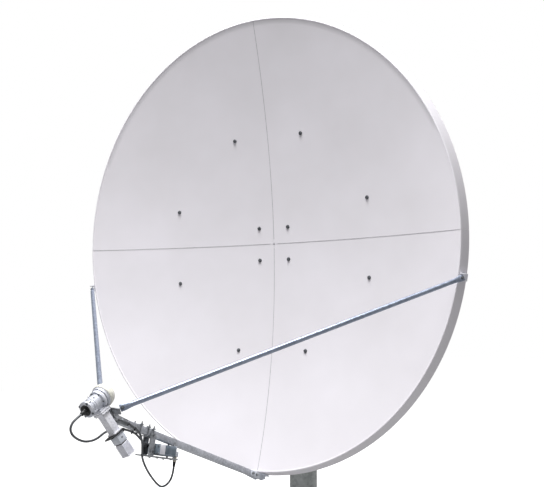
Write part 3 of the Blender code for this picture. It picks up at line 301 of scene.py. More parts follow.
class Skin(Enum):
    """The antenna's finishes, by the piece that they are named for."""

    DISH = Gelcoat("matt_white_gelcoat", "#dddadf", "#e5e2e8", 0.62)
    SEAL = Coated("grey_seam_sealant", "#a9a8ac", "#b8b6bb", 0.75)
    HEAD = Galvanised("hot_dip_galvanised_head", "#85888c", "#a8abaf", 0.48, 0.55)
    TUBE = Galvanised("hot_dip_galvanised_tube", "#aeb1b8", "#ced1d8", 0.45, 0.35, spangle=0.008)
    MAST = Galvanised("weathered_galvanised_pipe", "#989c9c", "#b0b4b3", 0.55, 0.30, spangle=0.014)
    STRUT = Plated("bright_zinc_strut_tube", "#868fa2", "#a6afc0", 0.40, 0.70)
    BOLT = Plated("zinc_plated_fastener", "#8d9094", "#b9bcbf", 0.32, 0.9)
    # dark grey bolt heads: the same plated finish as BOLT in a darker tone
    DARK_BOLT = Plated("dark_grey_bolt_head", "#55585c", "#787b80", 0.45, 0.7)
    CAP = Coated("cream_polypropylene_window", "#e6e4d8", "#f1f0e8", 0.42)
    WHITE = Coated("white_powder_coat", "#e4e5ee", "#f2f2f8", 0.38)
    CAST = Cast("cast_aluminium_alloy", "#c3c6d0", "#dcdee6", 0.45, 0.30)
    GREY = Coated("blue_grey_powder_coat", "#76828e", "#8d98a4", 0.45)
    PALE = Coated("pale_grey_powder_coat", "#bcc1cc", "#d0d4dd", 0.42)
    BLACK = Coated("black_nylon", "#131416", "#1f2022", 0.50)
    LEAD = Coated("weathered_polyethylene_jacket", "#4e5054", "#606367", 0.50, peel=0.004)
    BRASS = Plated("nickel_plated_connector", "#a8a294", "#cfc9ba", 0.28, 0.9)
    SCALE = Coated("etched_scale_plate", "#c9cbce", "#d8dadd", 0.40)
    WELD = Galvanised("galvanised_weld_bead", "#808386", "#a0a3a6", 0.5, 0.6, spangle=0.004)

    @property
    def material(self) -> bpy.types.Material:
        """The finish's material."""
        return self.value.material()


# ---- Frames of reference -----------------------------------------------------------------------
@dataclass(frozen=True)
class Optics:
    """The offset paraboloid in rim coordinates: u right, v up the rim plane, w out of it."""

    aperture: float = 2.4
    focal: float = 1.44

    @property
    def lean(self) -> float:
        """Angle between the rim plane's normal and the beam."""
        return math.atan(self.aperture / 2 / (2 * self.focal))

    @property
    def middle(self) -> float:
        """Distance of the rim's middle in front of the parent paraboloid's vertex."""
        return self.aperture**2 / (8 * self.focal)

    @property
    def half_u(self) -> float:
        """Half the rim's width."""
        return self.aperture / 2

    @property
    def half_v(self) -> float:
        """Half the rim's height."""
        return self.half_u / math.cos(self.lean)

    @property
    def focus(self) -> Vector:
        """The focus, in rim coordinates."""
        rise = self.focal - self.middle
        sin, cos = math.sin(self.lean), math.cos(self.lean)
        return Vector((0, -self.half_u * cos + rise * sin, self.half_u * sin + rise * cos))

    def depth(self, u: float, v: float) -> float:
        """w of the reflecting surface at (u, v).

        Args:
            u: place to the right.
            v: place up the rim plane.

        Returns:
            Its height above the rim plane, below zero inside the dish.
        """
        sin, cos = math.sin(self.lean), math.cos(self.lean)
        across = self.half_u + v * cos
        b = -2 * sin * across - 4 * self.focal * cos
        c = u * u + across * across - 4 * self.focal * (self.middle + v * sin)
        return (-b - math.sqrt(b * b - 4 * sin**2 * c)) / (2 * sin**2)


OPTICS = Optics()


@dataclass(frozen=True)
class Places:
    """The frames that the pieces are built in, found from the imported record."""

    joints: dict[str, Any]
    tilt: float = math.radians(-1.37)
    pivot_to_hub: float = 0.350
    boss_run: float = 0.031
    feed_drop: float = 0.012
    skew: float = math.radians(20)
    boom_from: tuple[float, float] = (0.135, 0.034)
    boom_to: tuple[float, float] = (0.0137, 0.0130)
    rail_at: tuple[float, float] = (0.347, -0.090)
    rail_tilt: float = math.radians(7)

    def joint(self, name: str) -> Vector:
        """A joint's place in the row frame."""
        return Vector(self.joints[name]["pos_m"])

    @property
    def head(self) -> Matrix:
        """Fixed axes on the elevation axis."""
        return Matrix.Translation(self.joint("elevation"))

    @property
    def dish(self) -> Matrix:
        """On the elevation axis: X right, Y up the rim plane, Z out of it."""
        return self.head @ Matrix.Rotation(math.pi / 2 - self.tilt, 4, "X")

    @property
    def hub_w(self) -> float:
        """The hub's front face, from the rim plane."""
        return OPTICS.depth(0, 0) - self.boss_run

    @property
    def rim_w(self) -> float:
        """The rim plane, from the elevation axis."""
        return self.pivot_to_hub - self.hub_w

    @property
    def rim(self) -> Matrix:
        """Rim coordinates to the row frame."""
        return self.dish @ Matrix.Translation((0, 0, self.rim_w))

    @property
    def mouth(self) -> Vector:
        """Where the feed axis starts, in rim coordinates."""
        return OPTICS.focus + Vector((0, -self.feed_drop, 0))

    @property
    def aim(self) -> Vector:
        """From the focus to the middle of the dish, in rim coordinates."""
        return (Vector((0, 0, OPTICS.depth(0, 0))) - OPTICS.focus).normalized()

    def feed(self, skew: float) -> Matrix:
        """At the feed's mouth: Z to the dish, Y along the filter arm turned by skew.

        Args:
            skew: the turn about the feed axis.

        Returns:
            The frame, to the row's.
        """
        down = self.aim.cross(Vector((1, 0, 0)))
        turn = Matrix((Vector((1, 0, 0)), down, self.aim)).transposed().to_4x4()
        return self.rim @ Matrix.Translation(self.mouth) @ turn @ Matrix.Rotation(-skew, 4, "Z")

    @property
    def boom_ends(self) -> tuple[Vector, Vector]:
        """The boom's centre line, feed end first, in rim coordinates."""
        down = self.aim.cross(Vector((1, 0, 0)))
        below, forward = self.boom_from
        under, out = self.boom_to
        return (self.mouth + down * below + self.aim * forward,
                Vector((0, -OPTICS.half_v - under, out)))

    @property
    def boom(self) -> Matrix:
        """At the boom's feed end: Y down the boom, Z out of its top face."""
        upper, foot = self.boom_ends
        down = (foot - upper).normalized()
        turn = Matrix((Vector((1, 0, 0)), down, Vector((1, 0, 0)).cross(down)))
        return self.rim @ Matrix.Translation(upper) @ turn.transposed().to_4x4()

    @property
    def converter(self) -> Matrix:
        """On the up-converter's rail: Y towards the rim, Z towards the boom."""
        hang = Matrix.Translation((0, *self.rail_at))
        return self.boom @ hang @ Matrix.Rotation(self.rail_tilt, 4, "X")


# ---- Mesh tools --------------------------------------------------------------------------------
def along(start: Spot, direction: Spot) -> Matrix:
    """A matrix that takes +Z to direction and the origin to start."""
    turn = Vector(direction).normalized().to_track_quat("Z", "Y").to_matrix().to_4x4()
    return Matrix.Translation(Vector(start)) @ turn


def softened(outline: Outline, radius: float, closed: bool = True, steps: int = 3) -> list:
    """Rounds the corners of a flat outline.

    Args:
        outline: the corners in order.
        radius: how far from each corner the rounding starts, at most.
        closed: False keeps the first and last point, as on an outline turned about its axis.
        steps: straight pieces in each rounding.

    Returns:
        The points of the rounded outline.
    """
    points = [Vector(p) for p in outline]
    count = len(points)
    rounded = []
    for k, corner in enumerate(points):
        if not closed and k in (0, count - 1):
            rounded.append(tuple(corner))
            continue
        before, after = points[k - 1], points[(k + 1) % count]
        reach_in = min(radius, (before - corner).length * 0.45)
        reach_out = min(radius, (after - corner).length * 0.45)
        first = corner + (before - corner).normalized() * reach_in
        last = corner + (after - corner).normalized() * reach_out
        for n in range(steps + 1):
            t = n / steps
            rounded.append(tuple(first * (1 - t) ** 2 + corner * 2 * t * (1 - t) + last * t * t))
    return rounded


def circle(count: int, radius: float = 1.0, start: float = 0.0) -> list[tuple[float, float]]:
    """Points spaced evenly on a circle.

    Args:
        count: how many points.
        radius: the circle's radius.
        start: the angle of the first point, in degrees.

    Returns:
        The points in order.
    """
    turns = (math.radians(start) + 2 * math.pi * k / count for k in range(count))
    return [(radius * math.cos(a), radius * math.sin(a)) for a in turns]


def rectangle(left: float, low: float, right: float, high: float) -> list[tuple[float, float]]:
    """A rectangle's four corners in order."""
    return [(left, low), (right, low), (right, high), (left, high)]


def disc(radius: float, low: float, high: float, bore: float = 0.0) -> list[tuple[float, float]]:
    """The outline of a turned disc or washer, for Work.lathe."""
    return [(bore, low), (radius, low), (radius, high), (bore, high)]


def bridge(solid: Solid, rings: Sequence[list], capped: bool = False) -> None:
    """Joins rings of vertices by faces that all wind the same way.

    Args:
        solid: the mesh that holds the vertices.
        rings: the rings in order, with as many vertices in each.
        capped: True closes the first ring and the last.
    """
    for first, second in zip(rings, rings[1:]):
        for k in range(len(first)):
            n = (k + 1) % len(first)
            solid.faces.new((first[k], first[n], second[n], second[k]))
    if capped:
        solid.faces.new(rings[0][::-1])
        solid.faces.new(rings[-1])


def put(name: str, data: bpy.types.ID) -> bpy.types.Object:
    """Makes an object of its data and links it to the scene."""
    made = bpy.data.objects.new(name, data)
    bpy.context.scene.collection.objects.link(made)
    return made


class Work:
    """Closed solids gathered in one frame, each with its finish, that become one piece."""

    def __init__(self, place: Matrix | None = None) -> None:
        """Starts an empty piece whose solids are given in the frame place, or the row frame."""
        self.place = place or Matrix()
        self.mesh = bmesh.new()
        self.skins: list[Skin] = []

    def take(self, solid: Solid, skin: Skin, at: Matrix | None = None) -> "Work":
        """Adds a finished solid.

        Args:
            solid: the solid; it is freed.
            skin: its finish.
            at: where it goes in this piece's frame.

        Returns:
            This piece, so that calls can be chained.
        """
        if skin not in self.skins:
            self.skins.append(skin)
        bmesh.ops.recalc_face_normals(solid, faces=solid.faces)
        for face in solid.faces:
            face.material_index = self.skins.index(skin)
        bmesh.ops.transform(solid, matrix=self.place @ (at or Matrix()), verts=solid.verts)
        carrier = bpy.data.meshes.new("carrier")
        solid.to_mesh(carrier)
        solid.free()
        self.mesh.from_mesh(carrier)
        bpy.data.meshes.remove(carrier)
        return self

    def block(self, low: Spot, high: Spot, skin: Skin,
              edge: float = 0.0012, at: Matrix | None = None) -> "Work":
        """A block with rounded edges, between two corners.

        Args:
            low: the lowest corner.
            high: the highest corner.
            skin: the finish.
            edge: the edges' rounding.
            at: where it goes in this piece's frame.

        Returns:
            This piece.
        """
        solid = bmesh.new()
        bmesh.ops.create_cube(solid, size=1.0)
        low, high = Vector(low), Vector(high)
        bmesh.ops.scale(solid, vec=high - low, verts=solid.verts)
        bmesh.ops.translate(solid, vec=(low + high) / 2, verts=solid.verts)
        reach = min(edge, 0.45 * min(high - low))
        bmesh.ops.bevel(solid, geom=solid.edges[:], offset=reach, segments=2, profile=0.5,
                        affect="EDGES")
        return self.take(solid, skin, at)

    def plate(self, outline: Outline, low: float, high: float, plane: str, skin: Skin,
              edge: float = 0.0008, corner: float = 0.0, at: Matrix | None = None) -> "Work":
        """A flat outline extruded from low to high across its plane, with rounded edges.

        Args:
            outline: its corners, in the plane's own two axes.
            low: where it starts across the plane.
            high: where it ends.
            plane: "XY", "XZ" or "YZ".
            skin: the finish.
            edge: the edges' rounding.
            corner: the outline's rounding.
            at: where it goes in this piece's frame.

        Returns:
            This piece.
        """
        order = {"YZ": (2, 0, 1), "XZ": (0, 2, 1), "XY": (0, 1, 2)}[plane]
        points = softened(outline, corner) if corner else outline
        solid = bmesh.new()
        rows = [[solid.verts.new([(a, b, c)[n] for n in order]) for a, b in points]
                for c in (high, low)]
        bridge(solid, rows, capped=True)
        if edge:
            rims = [e for e in solid.edges if e.calc_face_angle(0) > math.radians(40)]
            bmesh.ops.bevel(solid, geom=rims, offset=min(edge, 0.3 * abs(high - low)), segments=2,
                            profile=0.5, affect="EDGES")
        return self.take(solid, skin, at)

    def lathe(self, outline: Outline, skin: Skin, start: Spot = (0, 0, 0),
              way: Spot = (0, 0, 1), sides: int = 40, corner: float = 0.0) -> "Work":
        """A turned solid. The outline is (radius, distance), closed on itself or on the axis.

        Args:
            outline: radius and distance of each corner.
            skin: the finish.
            start: where distance 0 is.
            way: the axis.
            sides: flat sides of the turned shape.
            corner: the outline's rounding.

        Returns:
            This piece.
        """
        on_axis = outline[0][0] == 0 and outline[-1][0] == 0
        points = softened(outline, corner, closed=not on_axis) if corner else list(outline)
        inner = points[1:-1] if on_axis else points
        solid = bmesh.new()
        rings = [[solid.verts.new((x, y, z)) for x, y in circle(sides, r)] for r, z in inner]
        bridge(solid, rings if on_axis else rings + rings[:1])
        if on_axis:
            for ring, end in ((rings[0], points[0]), (rings[-1], points[-1])):
                tip = solid.verts.new((0, 0, end[1]))
                for k in range(sides):
                    solid.faces.new((tip, ring[k], ring[(k + 1) % sides]))
        return self.take(solid, skin, along(start, way))

    def rod(self, start: Spot, end: Spot, radius: float, skin: Skin,
            sides: int = 24, edge: float = 0.0008) -> "Work":
        """A round bar with softened ends.

        Args:
            start: the middle of one end.
            end: the middle of the other.
            radius: the bar's radius.
            skin: the finish.
            sides: its flat sides.
            edge: the ends' rounding.

        Returns:
            This piece.
        """
        run = (Vector(end) - Vector(start)).length
        way = Vector(end) - Vector(start)
        return self.lathe(disc(radius, 0, run), skin, start, way, sides, edge)

    def hexagon(self, start: Spot, way: Spot, across: float, height: float,
                skin: Skin, bore: float = 0.0) -> "Work":
        """A hexagon head or nut with chamfered corners, seated at start.

        Args:
            start: the middle of its seat.
            way: out of the seat.
            across: the width across its flats.
            height: its height.
            skin: the finish.
            bore: a nut's bore radius, or 0 for a head.

        Returns:
            This piece.
        """
        radius = across / 2 / math.cos(math.pi / 6)
        solid = bmesh.new()
        levels = ((radius * 0.93, 0), (radius, height * 0.12), (radius, height * 0.82),
                  (radius * 0.90, height))
        if bore:
            levels += ((bore, height), (bore, 0))
        rings = [[solid.verts.new((x, y, z)) for x, y in circle(6, r)] for r, z in levels]
        bridge(solid, rings + rings[:1] if bore else rings, capped=not bore)
        return self.take(solid, skin, along(start, way))

    def bolt(self, seat: Spot, way: Spot, radius: float, skin: Skin, washer: bool = True) -> "Work":
        """A hexagon head and its washer, standing on a face at seat and pointing along way.

        Args:
            seat: the middle of its seat.
            way: out of the seat.
            radius: the thread's radius, which the rest follows.
            skin: the finish.
            washer: False leaves the washer out.

        Returns:
            This piece.
        """
        lift = 0.0
        if washer:
            lift = radius * 0.3
            self.lathe(disc(radius * 2.1, 0, lift), skin, seat, way, 28, radius * 0.08)
        top = Vector(seat) + Vector(way).normalized() * lift
        return self.hexagon(top, way, radius * 3.3, radius * 1.25, skin)

    def tube(self, path: Sequence[Spot], radius: float, skin: Skin, sides: int = 12) -> "Work":
        """A closed round tube through the points of path, such as a weld bead or a hook.

        Args:
            path: the points of its centre line.
            radius: the tube's radius.
            skin: the finish.
            sides: its flat sides.

        Returns:
            This piece.
        """
        points = [Vector(p) for p in path]
        solid = bmesh.new()
        rings = []
        normal = (points[1] - points[0]).orthogonal().normalized()
        for k, point in enumerate(points):
            ahead = points[min(k + 1, len(points) - 1)] - points[max(k - 1, 0)]
            ahead.normalize()
            normal = (normal - ahead * normal.dot(ahead)).normalized()
            side = ahead.cross(normal)
            rings.append([solid.verts.new(point + normal * x + side * y)
                          for x, y in circle(sides, radius)])
        bridge(solid, rings, capped=True)
        return self.take(solid, skin)

    def copy(self, node: str, skin: Skin, edge: float = 0.0012) -> "Work":
        """A CAD node's own shape with its edges rounded. It is already in the row frame.

        Args:
            node: the node's name.
            skin: the finish.
            edge: the edges' rounding.

        Returns:
            This piece.
        """
        solid = bmesh.new()
        solid.from_mesh(bpy.data.objects[node].data)
        bmesh.ops.remove_doubles(solid, verts=solid.verts, dist=2e-6)
        bmesh.ops.dissolve_limit(solid, angle_limit=math.radians(1.0), verts=solid.verts,
                                 edges=solid.edges)
        if edge:
            rims = [e for e in solid.edges
                    if e.is_manifold and e.calc_face_angle(0) > math.radians(32)]
            bmesh.ops.bevel(solid, geom=rims, offset=edge, segments=2, profile=0.5,
                            affect="EDGES", clamp_overlap=True)
        return self.take(solid, skin, self.place.inverted())

    def finish(self, name: str, body: str, slot: str, replaces: Iterable[str] = ()) -> Any:
        """Makes the piece, hides the nodes that it stands for and lets it ride on its body.

        Args:
            name: the piece's name.
            body: the CAD body that it rides on.
            slot: the record's material slot; not used.
            replaces: the CAD nodes that it stands for.

        Returns:
            The new object.
        """
        data = bpy.data.meshes.new(name)
        self.mesh.to_mesh(data)
        self.mesh.free()
        for skin in self.skins:
            data.materials.append(skin.material)
        return settle(name, data, body, replaces)


def settle(name: str, data: bpy.types.Mesh, body: str,
           replaces: Iterable[str] = ()) -> bpy.types.Object:
    """Links a finished mesh as a piece of the antenna, as Work.finish says.

    Args:
        name: the piece's name.
        data: its finished mesh.
        body: the CAD body that it rides on.
        replaces: the CAD nodes that it stands for.

    Returns:
        The new object.
    """
    data.shade_smooth()
    data.set_sharp_from_angle(angle=SHARP)
    obj = put(name, data)
    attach(obj, body)
    nodes = list(replaces)
    if nodes:
        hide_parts(*nodes)
    log.info("%s: %d faces on %s", name, len(data.polygons), body)
    return obj


# ---- Geometry Nodes ----------------------------------------------------------------------------
SOCKETS = {float: "NodeSocketFloat", int: "NodeSocketInt", bpy.types.Object: "NodeSocketObject",
           bpy.types.Material: "NodeSocketMaterial"}


class Growth:
    """A Geometry Nodes tree with named inputs, and the way to run it and keep its mesh."""

    def __init__(self, name: str, **inputs: Any) -> None:
        """Starts a tree.

        Args:
            name: the tree's name.
            inputs: the type of each named input.
        """
        self.tree = bpy.data.node_groups.new(name, "GeometryNodeTree")
        face = self.tree.interface
        face.new_socket("Geometry", in_out="INPUT", socket_type="NodeSocketGeometry")
        self.sockets = {key: face.new_socket(key, in_out="INPUT", socket_type=SOCKETS[kind])
                        for key, kind in inputs.items()}
        face.new_socket("Geometry", in_out="OUTPUT", socket_type="NodeSocketGeometry")
        self.given = add(self.tree, "NodeGroupInput").outputs

    def close(self, geometry: Socket) -> None:
        """Ends the tree: instances are realised and the finish is set.

        Args:
            geometry: what the tree has made.
        """
        real = add(self.tree, "GeometryNodeRealizeInstances", inputs={"Geometry": geometry})
        dressed = add(self.tree, "GeometryNodeSetMaterial", inputs={
            "Geometry": real.outputs[0], "Material": self.given["finish"]})
        add(self.tree, "NodeGroupOutput", inputs={0: dressed.outputs[0]})

    def run(self, base: bpy.types.Mesh, **values: Any) -> bpy.types.Mesh:
        """Runs the tree on a mesh.

        Args:
            base: what the tree starts from.
            values: a value for each named input.

        Returns:
            The result as a plain mesh, in the frame that base was given in.
        """
        holder = put("growth", base)
        modifier = holder.modifiers.new("growth", "NODES")
        modifier.node_group = self.tree
        for key, value in values.items():
            modifier[self.sockets[key].identifier] = value
        graph = bpy.context.evaluated_depsgraph_get()
        made = bpy.data.meshes.new_from_object(holder.evaluated_get(graph), depsgraph=graph)
        bpy.data.objects.remove(holder)
        return made


def scatter_growth() -> Growth:
    """A tree that sets a pattern piece on each point, its +Z along the point's "facing".

    Returns:
        The tree.
    """
    growth = Growth("fasteners_on_points", pattern=bpy.types.Object, finish=bpy.types.Material)
    tree = growth.tree
    pattern = add(tree, "GeometryNodeObjectInfo", inputs={"Object": growth.given["pattern"]})
    facing = add(tree, "GeometryNodeInputNamedAttribute", {"data_type": "FLOAT_VECTOR"},
                 {"Name": "facing"})
    spin = add(tree, "GeometryNodeInputNamedAttribute", {"data_type": "FLOAT"}, {"Name": "spin"})
    turn = add(tree, "FunctionNodeAlignRotationToVector", {"axis": "Z"},
               {"Vector": facing.outputs[0]})
    about = add(tree, "FunctionNodeAxisAngleToRotation", inputs={
        "Axis": (0, 0, 1), "Angle": spin.outputs[0]})
    both = add(tree, "FunctionNodeRotateRotation", {"rotation_space": "LOCAL"}, {
        0: turn.outputs[0], 1: about.outputs[0]})
    placed = add(tree, "GeometryNodeInstanceOnPoints", inputs={
        "Points": growth.given["Geometry"], "Instance": pattern.outputs["Geometry"],
        "Rotation": both.outputs[0]})
    growth.close(placed.outputs[0])
    return growth


def rib_growth() -> Growth:
    """A tree that runs a rectangular strip along each line of points, upright on w.

    Returns:
        The tree.
    """
    growth = Growth("strips_along_lines", width=float, height=float, finish=bpy.types.Material)
    tree = growth.tree
    line = add(tree, "GeometryNodeMeshToCurve", inputs={0: growth.given["Geometry"]})
    upright = add(tree, "GeometryNodeSetCurveNormal", {"mode": "Z_UP"}, {0: line.outputs[0]})
    section = add(tree, "GeometryNodeCurvePrimitiveQuadrilateral", {"mode": "RECTANGLE"}, {
        "Width": growth.given["width"], "Height": growth.given["height"]})
    swept = add(tree, "GeometryNodeCurveToMesh", inputs={
        "Curve": upright.outputs[0], "Profile Curve": section.outputs[0], "Fill Caps": True})
    growth.close(swept.outputs[0])
    return growth


def thread_growth() -> Growth:
    """A tree that winds a thread's ridge round a rod along +Z.

    Returns:
        The tree.
    """
    growth = Growth("thread_on_rod", radius=float, pitch=float, turns=float, depth=float,
                    finish=bpy.types.Material)
    tree, given = growth.tree, growth.given
    height = add(tree, "ShaderNodeMath", {"operation": "MULTIPLY"}, {
        0: given["pitch"], 1: given["turns"]})
    coil = add(tree, "GeometryNodeCurveSpiral", inputs={
        "Resolution": 20, "Rotations": given["turns"], "Start Radius": given["radius"],
        "End Radius": given["radius"], "Height": height.outputs[0]})
    upright = add(tree, "GeometryNodeSetCurveNormal", {"mode": "Z_UP"}, {0: coil.outputs[0]})
    ridge = add(tree, "GeometryNodeCurvePrimitiveCircle", {"mode": "RADIUS"}, {
        "Resolution": 4, "Radius": given["depth"]})
    swept = add(tree, "GeometryNodeCurveToMesh", inputs={
        "Curve": upright.outputs[0], "Profile Curve": ridge.outputs[0], "Fill Caps": True})
    growth.close(swept.outputs[0])
    return growth


def row_growth() -> Growth:
    """A tree that repeats a block in a row, such as cooling fins: count blocks a step apart.

    Returns:
        The tree.
    """
    growth = Growth("fins_in_a_row", count=int, step=float, thick=float, wide=float, tall=float,
                    finish=bpy.types.Material)
    tree, given = growth.tree, growth.given
    size = add(tree, "ShaderNodeCombineXYZ", inputs={
        0: given["wide"], 1: given["thick"], 2: given["tall"]})
    fin = add(tree, "GeometryNodeMeshCube", inputs={"Size": size.outputs[0]})
    stride = add(tree, "ShaderNodeCombineXYZ", inputs={1: given["step"]})
    row = add(tree, "GeometryNodeMeshLine", inputs={
        "Count": given["count"], "Offset": stride.outputs[0]})
    placed = add(tree, "GeometryNodeInstanceOnPoints", inputs={
        "Points": row.outputs[0], "Instance": fin.outputs["Mesh"]})
    growth.close(placed.outputs[0])
    return growth


def petal_growth(stations: int) -> Growth:
    """A tree that sweeps the petal's wall section round a quarter of the rim, by the optics' rule.

    The base mesh has one point for each station of the section, with these attributes: "share" of
    the way from the middle to the rim, "grow" outside the rim, "lift" along w, and "follow", 1 on
    the paraboloid and 0 on the rim plane.

    Args:
        stations: how many stations the section has.

    Returns:
        The tree.
    """
    growth = Growth("petal_by_paraboloid", sectors=int, sign_u=float, sign_v=float, gap=float,
                    half_u=float, half_v=float, focal=float, finish=bpy.types.Material)
    tree, given = growth.tree, growth.given
    sin, cos = math.sin(OPTICS.lean), math.cos(OPTICS.lean)
    values: dict[str, Any] = {key: given[key] for key in growth.sockets}
    across = add(tree, "ShaderNodeMath", {"operation": "ADD"}, {0: given["sectors"], 1: 1.0})
    grid = add(tree, "GeometryNodeMeshGrid", inputs={
        "Vertices X": stations, "Vertices Y": across.outputs[0]})
    values["index"] = add(tree, "GeometryNodeInputIndex").outputs[0]
    values["columns"] = across.outputs[0]

    def compute(rows: Sequence[tuple]) -> None:
        """Adds a math node for each row: its name, its operation and its operands.

        Args:
            rows: the rows in order; an operand is a number or the name of a value.
        """
        for name, operation, *operands in rows:
            node = add(tree, "ShaderNodeMath", {"operation": operation}, {
                k: values.get(x, x) if isinstance(x, str) else x for k, x in enumerate(operands)})
            values[name] = node.outputs[0]

    compute([
        ("quotient", "DIVIDE", "index", "columns"), ("station", "FLOOR", "quotient"),
        ("before", "MULTIPLY", "station", "columns"), ("sector", "SUBTRACT", "index", "before"),
    ])
    for key in ("share", "grow", "lift", "follow"):
        stored = add(tree, "GeometryNodeInputNamedAttribute", {"data_type": "FLOAT"}, {"Name": key})
        sampled = add(tree, "GeometryNodeSampleIndex", {"data_type": "FLOAT", "domain": "POINT"}, {
            "Geometry": given["Geometry"], "Value": stored.outputs[0],
            "Index": values["station"]})
        values[key] = sampled.outputs[0]
    compute([
        ("turn", "DIVIDE", "sector", "sectors"), ("angle", "MULTIPLY", "turn", math.pi / 2),
        ("cosine", "COSINE", "angle"), ("sine", "SINE", "angle"),
        ("wide", "ADD", "half_u", "grow"), ("tall", "ADD", "half_v", "grow"),
        ("edge_u0", "MULTIPLY", "wide", "cosine"), ("edge_v0", "MULTIPLY", "tall", "sine"),
        ("edge_u", "MAXIMUM", "edge_u0", "gap"), ("edge_v", "MAXIMUM", "edge_v0", "gap"),
        ("run_u", "SUBTRACT", "edge_u", "gap"), ("run_v", "SUBTRACT", "edge_v", "gap"),
        ("u_plus", "MULTIPLY_ADD", "run_u", "share", "gap"),
        ("v_plus", "MULTIPLY_ADD", "run_v", "share", "gap"),
        ("u", "MULTIPLY", "u_plus", "sign_u"), ("v", "MULTIPLY", "v_plus", "sign_v"),
        ("focal4", "MULTIPLY", "focal", 4.0),
        ("across", "MULTIPLY_ADD", "v", cos, "half_u"),
        ("b_part", "MULTIPLY", "focal4", -cos),
        ("b", "MULTIPLY_ADD", "across", -2 * sin, "b_part"),
        ("uu", "MULTIPLY", "u", "u"), ("aa", "MULTIPLY_ADD", "across", "across", "uu"),
        ("rise", "MULTIPLY_ADD", "v", sin, OPTICS.middle), ("far", "MULTIPLY", "rise", "focal4"),
        ("c", "SUBTRACT", "aa", "far"), ("bb", "MULTIPLY", "b", "b"),
        ("c4", "MULTIPLY", "c", 4 * sin * sin), ("inside", "SUBTRACT", "bb", "c4"),
        ("root", "SQRT", "inside"), ("sum", "ADD", "b", "root"),
        ("depth", "DIVIDE", "sum", -2 * sin * sin),
        ("w", "MULTIPLY_ADD", "depth", "follow", "lift"),
    ])
    place = add(tree, "ShaderNodeCombineXYZ", inputs={0: values["u"], 1: values["v"],
                                                     2: values["w"]})
    moved = add(tree, "GeometryNodeSetPosition", inputs={
        "Geometry": grid.outputs["Mesh"], "Position": place.outputs[0]})
    merged = add(tree, "GeometryNodeMergeByDistance", inputs={
        "Geometry": moved.outputs[0], "Distance": 1e-5})
    growth.close(merged.outputs[0])
    return growth


def points_mesh(points: Sequence[Spot], lines: Sequence[tuple[int, int]] = (),
                **attributes: Sequence[Any]) -> bpy.types.Mesh:
    """A mesh of loose points or lines with named attributes, for a tree to start from.

    Args:
        points: where the points are.
        lines: pairs of point numbers.
        attributes: the values of each named attribute, one for each point.

    Returns:
        The mesh.
    """
    mesh = bpy.data.meshes.new("points")
    mesh.from_pydata([tuple(p) for p in points], list(lines), [])
    for key, data in attributes.items():
        vector = isinstance(data[0], (tuple, Vector))
        layer = mesh.attributes.new(key, "FLOAT_VECTOR" if vector else "FLOAT", "POINT")
        flat = [x for item in data for x in item] if vector else list(data)
        layer.data.foreach_set("vector" if vector else "value", flat)
    return mesh


def lines_mesh(lines: Sequence[Sequence[Spot]]) -> bpy.types.Mesh:
    """Several open lines of points as one mesh of edges.

    Args:
        lines: the points of each line.

    Returns:
        The mesh.
    """
    points, edges = [], []
    for line in lines:
        first = len(points)
        points += [tuple(p) for p in line]
        edges += [(first + k, first + k + 1) for k in range(len(line) - 1)]
    return points_mesh(points, edges)


class Fasteners:
    """Sets copies of one pattern piece on many places, grown by one tree."""

    def __init__(self) -> None:
        """Builds the tree once."""
        self.growth = scatter_growth()

    def set(self, name: str, pattern: Work, spots: Sequence[tuple[Vector, Vector, float]],
            body: str = FRAME, replaces: Iterable[str] = ()) -> bpy.types.Object:
        """Copies a pattern onto its spots.

        Args:
            name: the new piece's name.
            pattern: the piece to copy, in one finish, its seat at the origin and +Z out.
            spots: place, direction and turn of each copy, in the row frame.
            body: the CAD body that they ride on.
            replaces: the CAD nodes that they stand for.

        Returns:
            The new object.
        """
        data = bpy.data.meshes.new(f"{name}_pattern")
        pattern.mesh.to_mesh(data)
        pattern.mesh.free()
        sample = put(f"{name}_pattern", data)
        finish = pattern.skins[0].material
        base = points_mesh([s[0] for s in spots], facing=[Vector(s[1]) for s in spots],
                           spin=[s[2] for s in spots])
        made = self.growth.run(base, pattern=sample, finish=finish)
        bpy.data.objects.remove(sample)
        made.materials.clear()
        made.materials.append(finish)
        return settle(name, made, body, replaces)


@dataclass(frozen=True)
class Nut:
    """A nut on its washer, to be set on many places: seated at the origin, along +Z."""

    washer: float
    seat: float
    across: float
    height: float
    sink: float = 0.0
    sides: int = 28
    corner: float = 0.0004

    def pattern(self) -> Work:
        """The washer, sunk a little where its face curves, and the hexagon on it."""
        work = Work().lathe(disc(self.washer, -self.sink, self.seat), Skin.BOLT,
                            sides=self.sides, corner=self.corner)
        return work.hexagon((0, 0, self.seat), Z, self.across, self.height, Skin.BOLT)


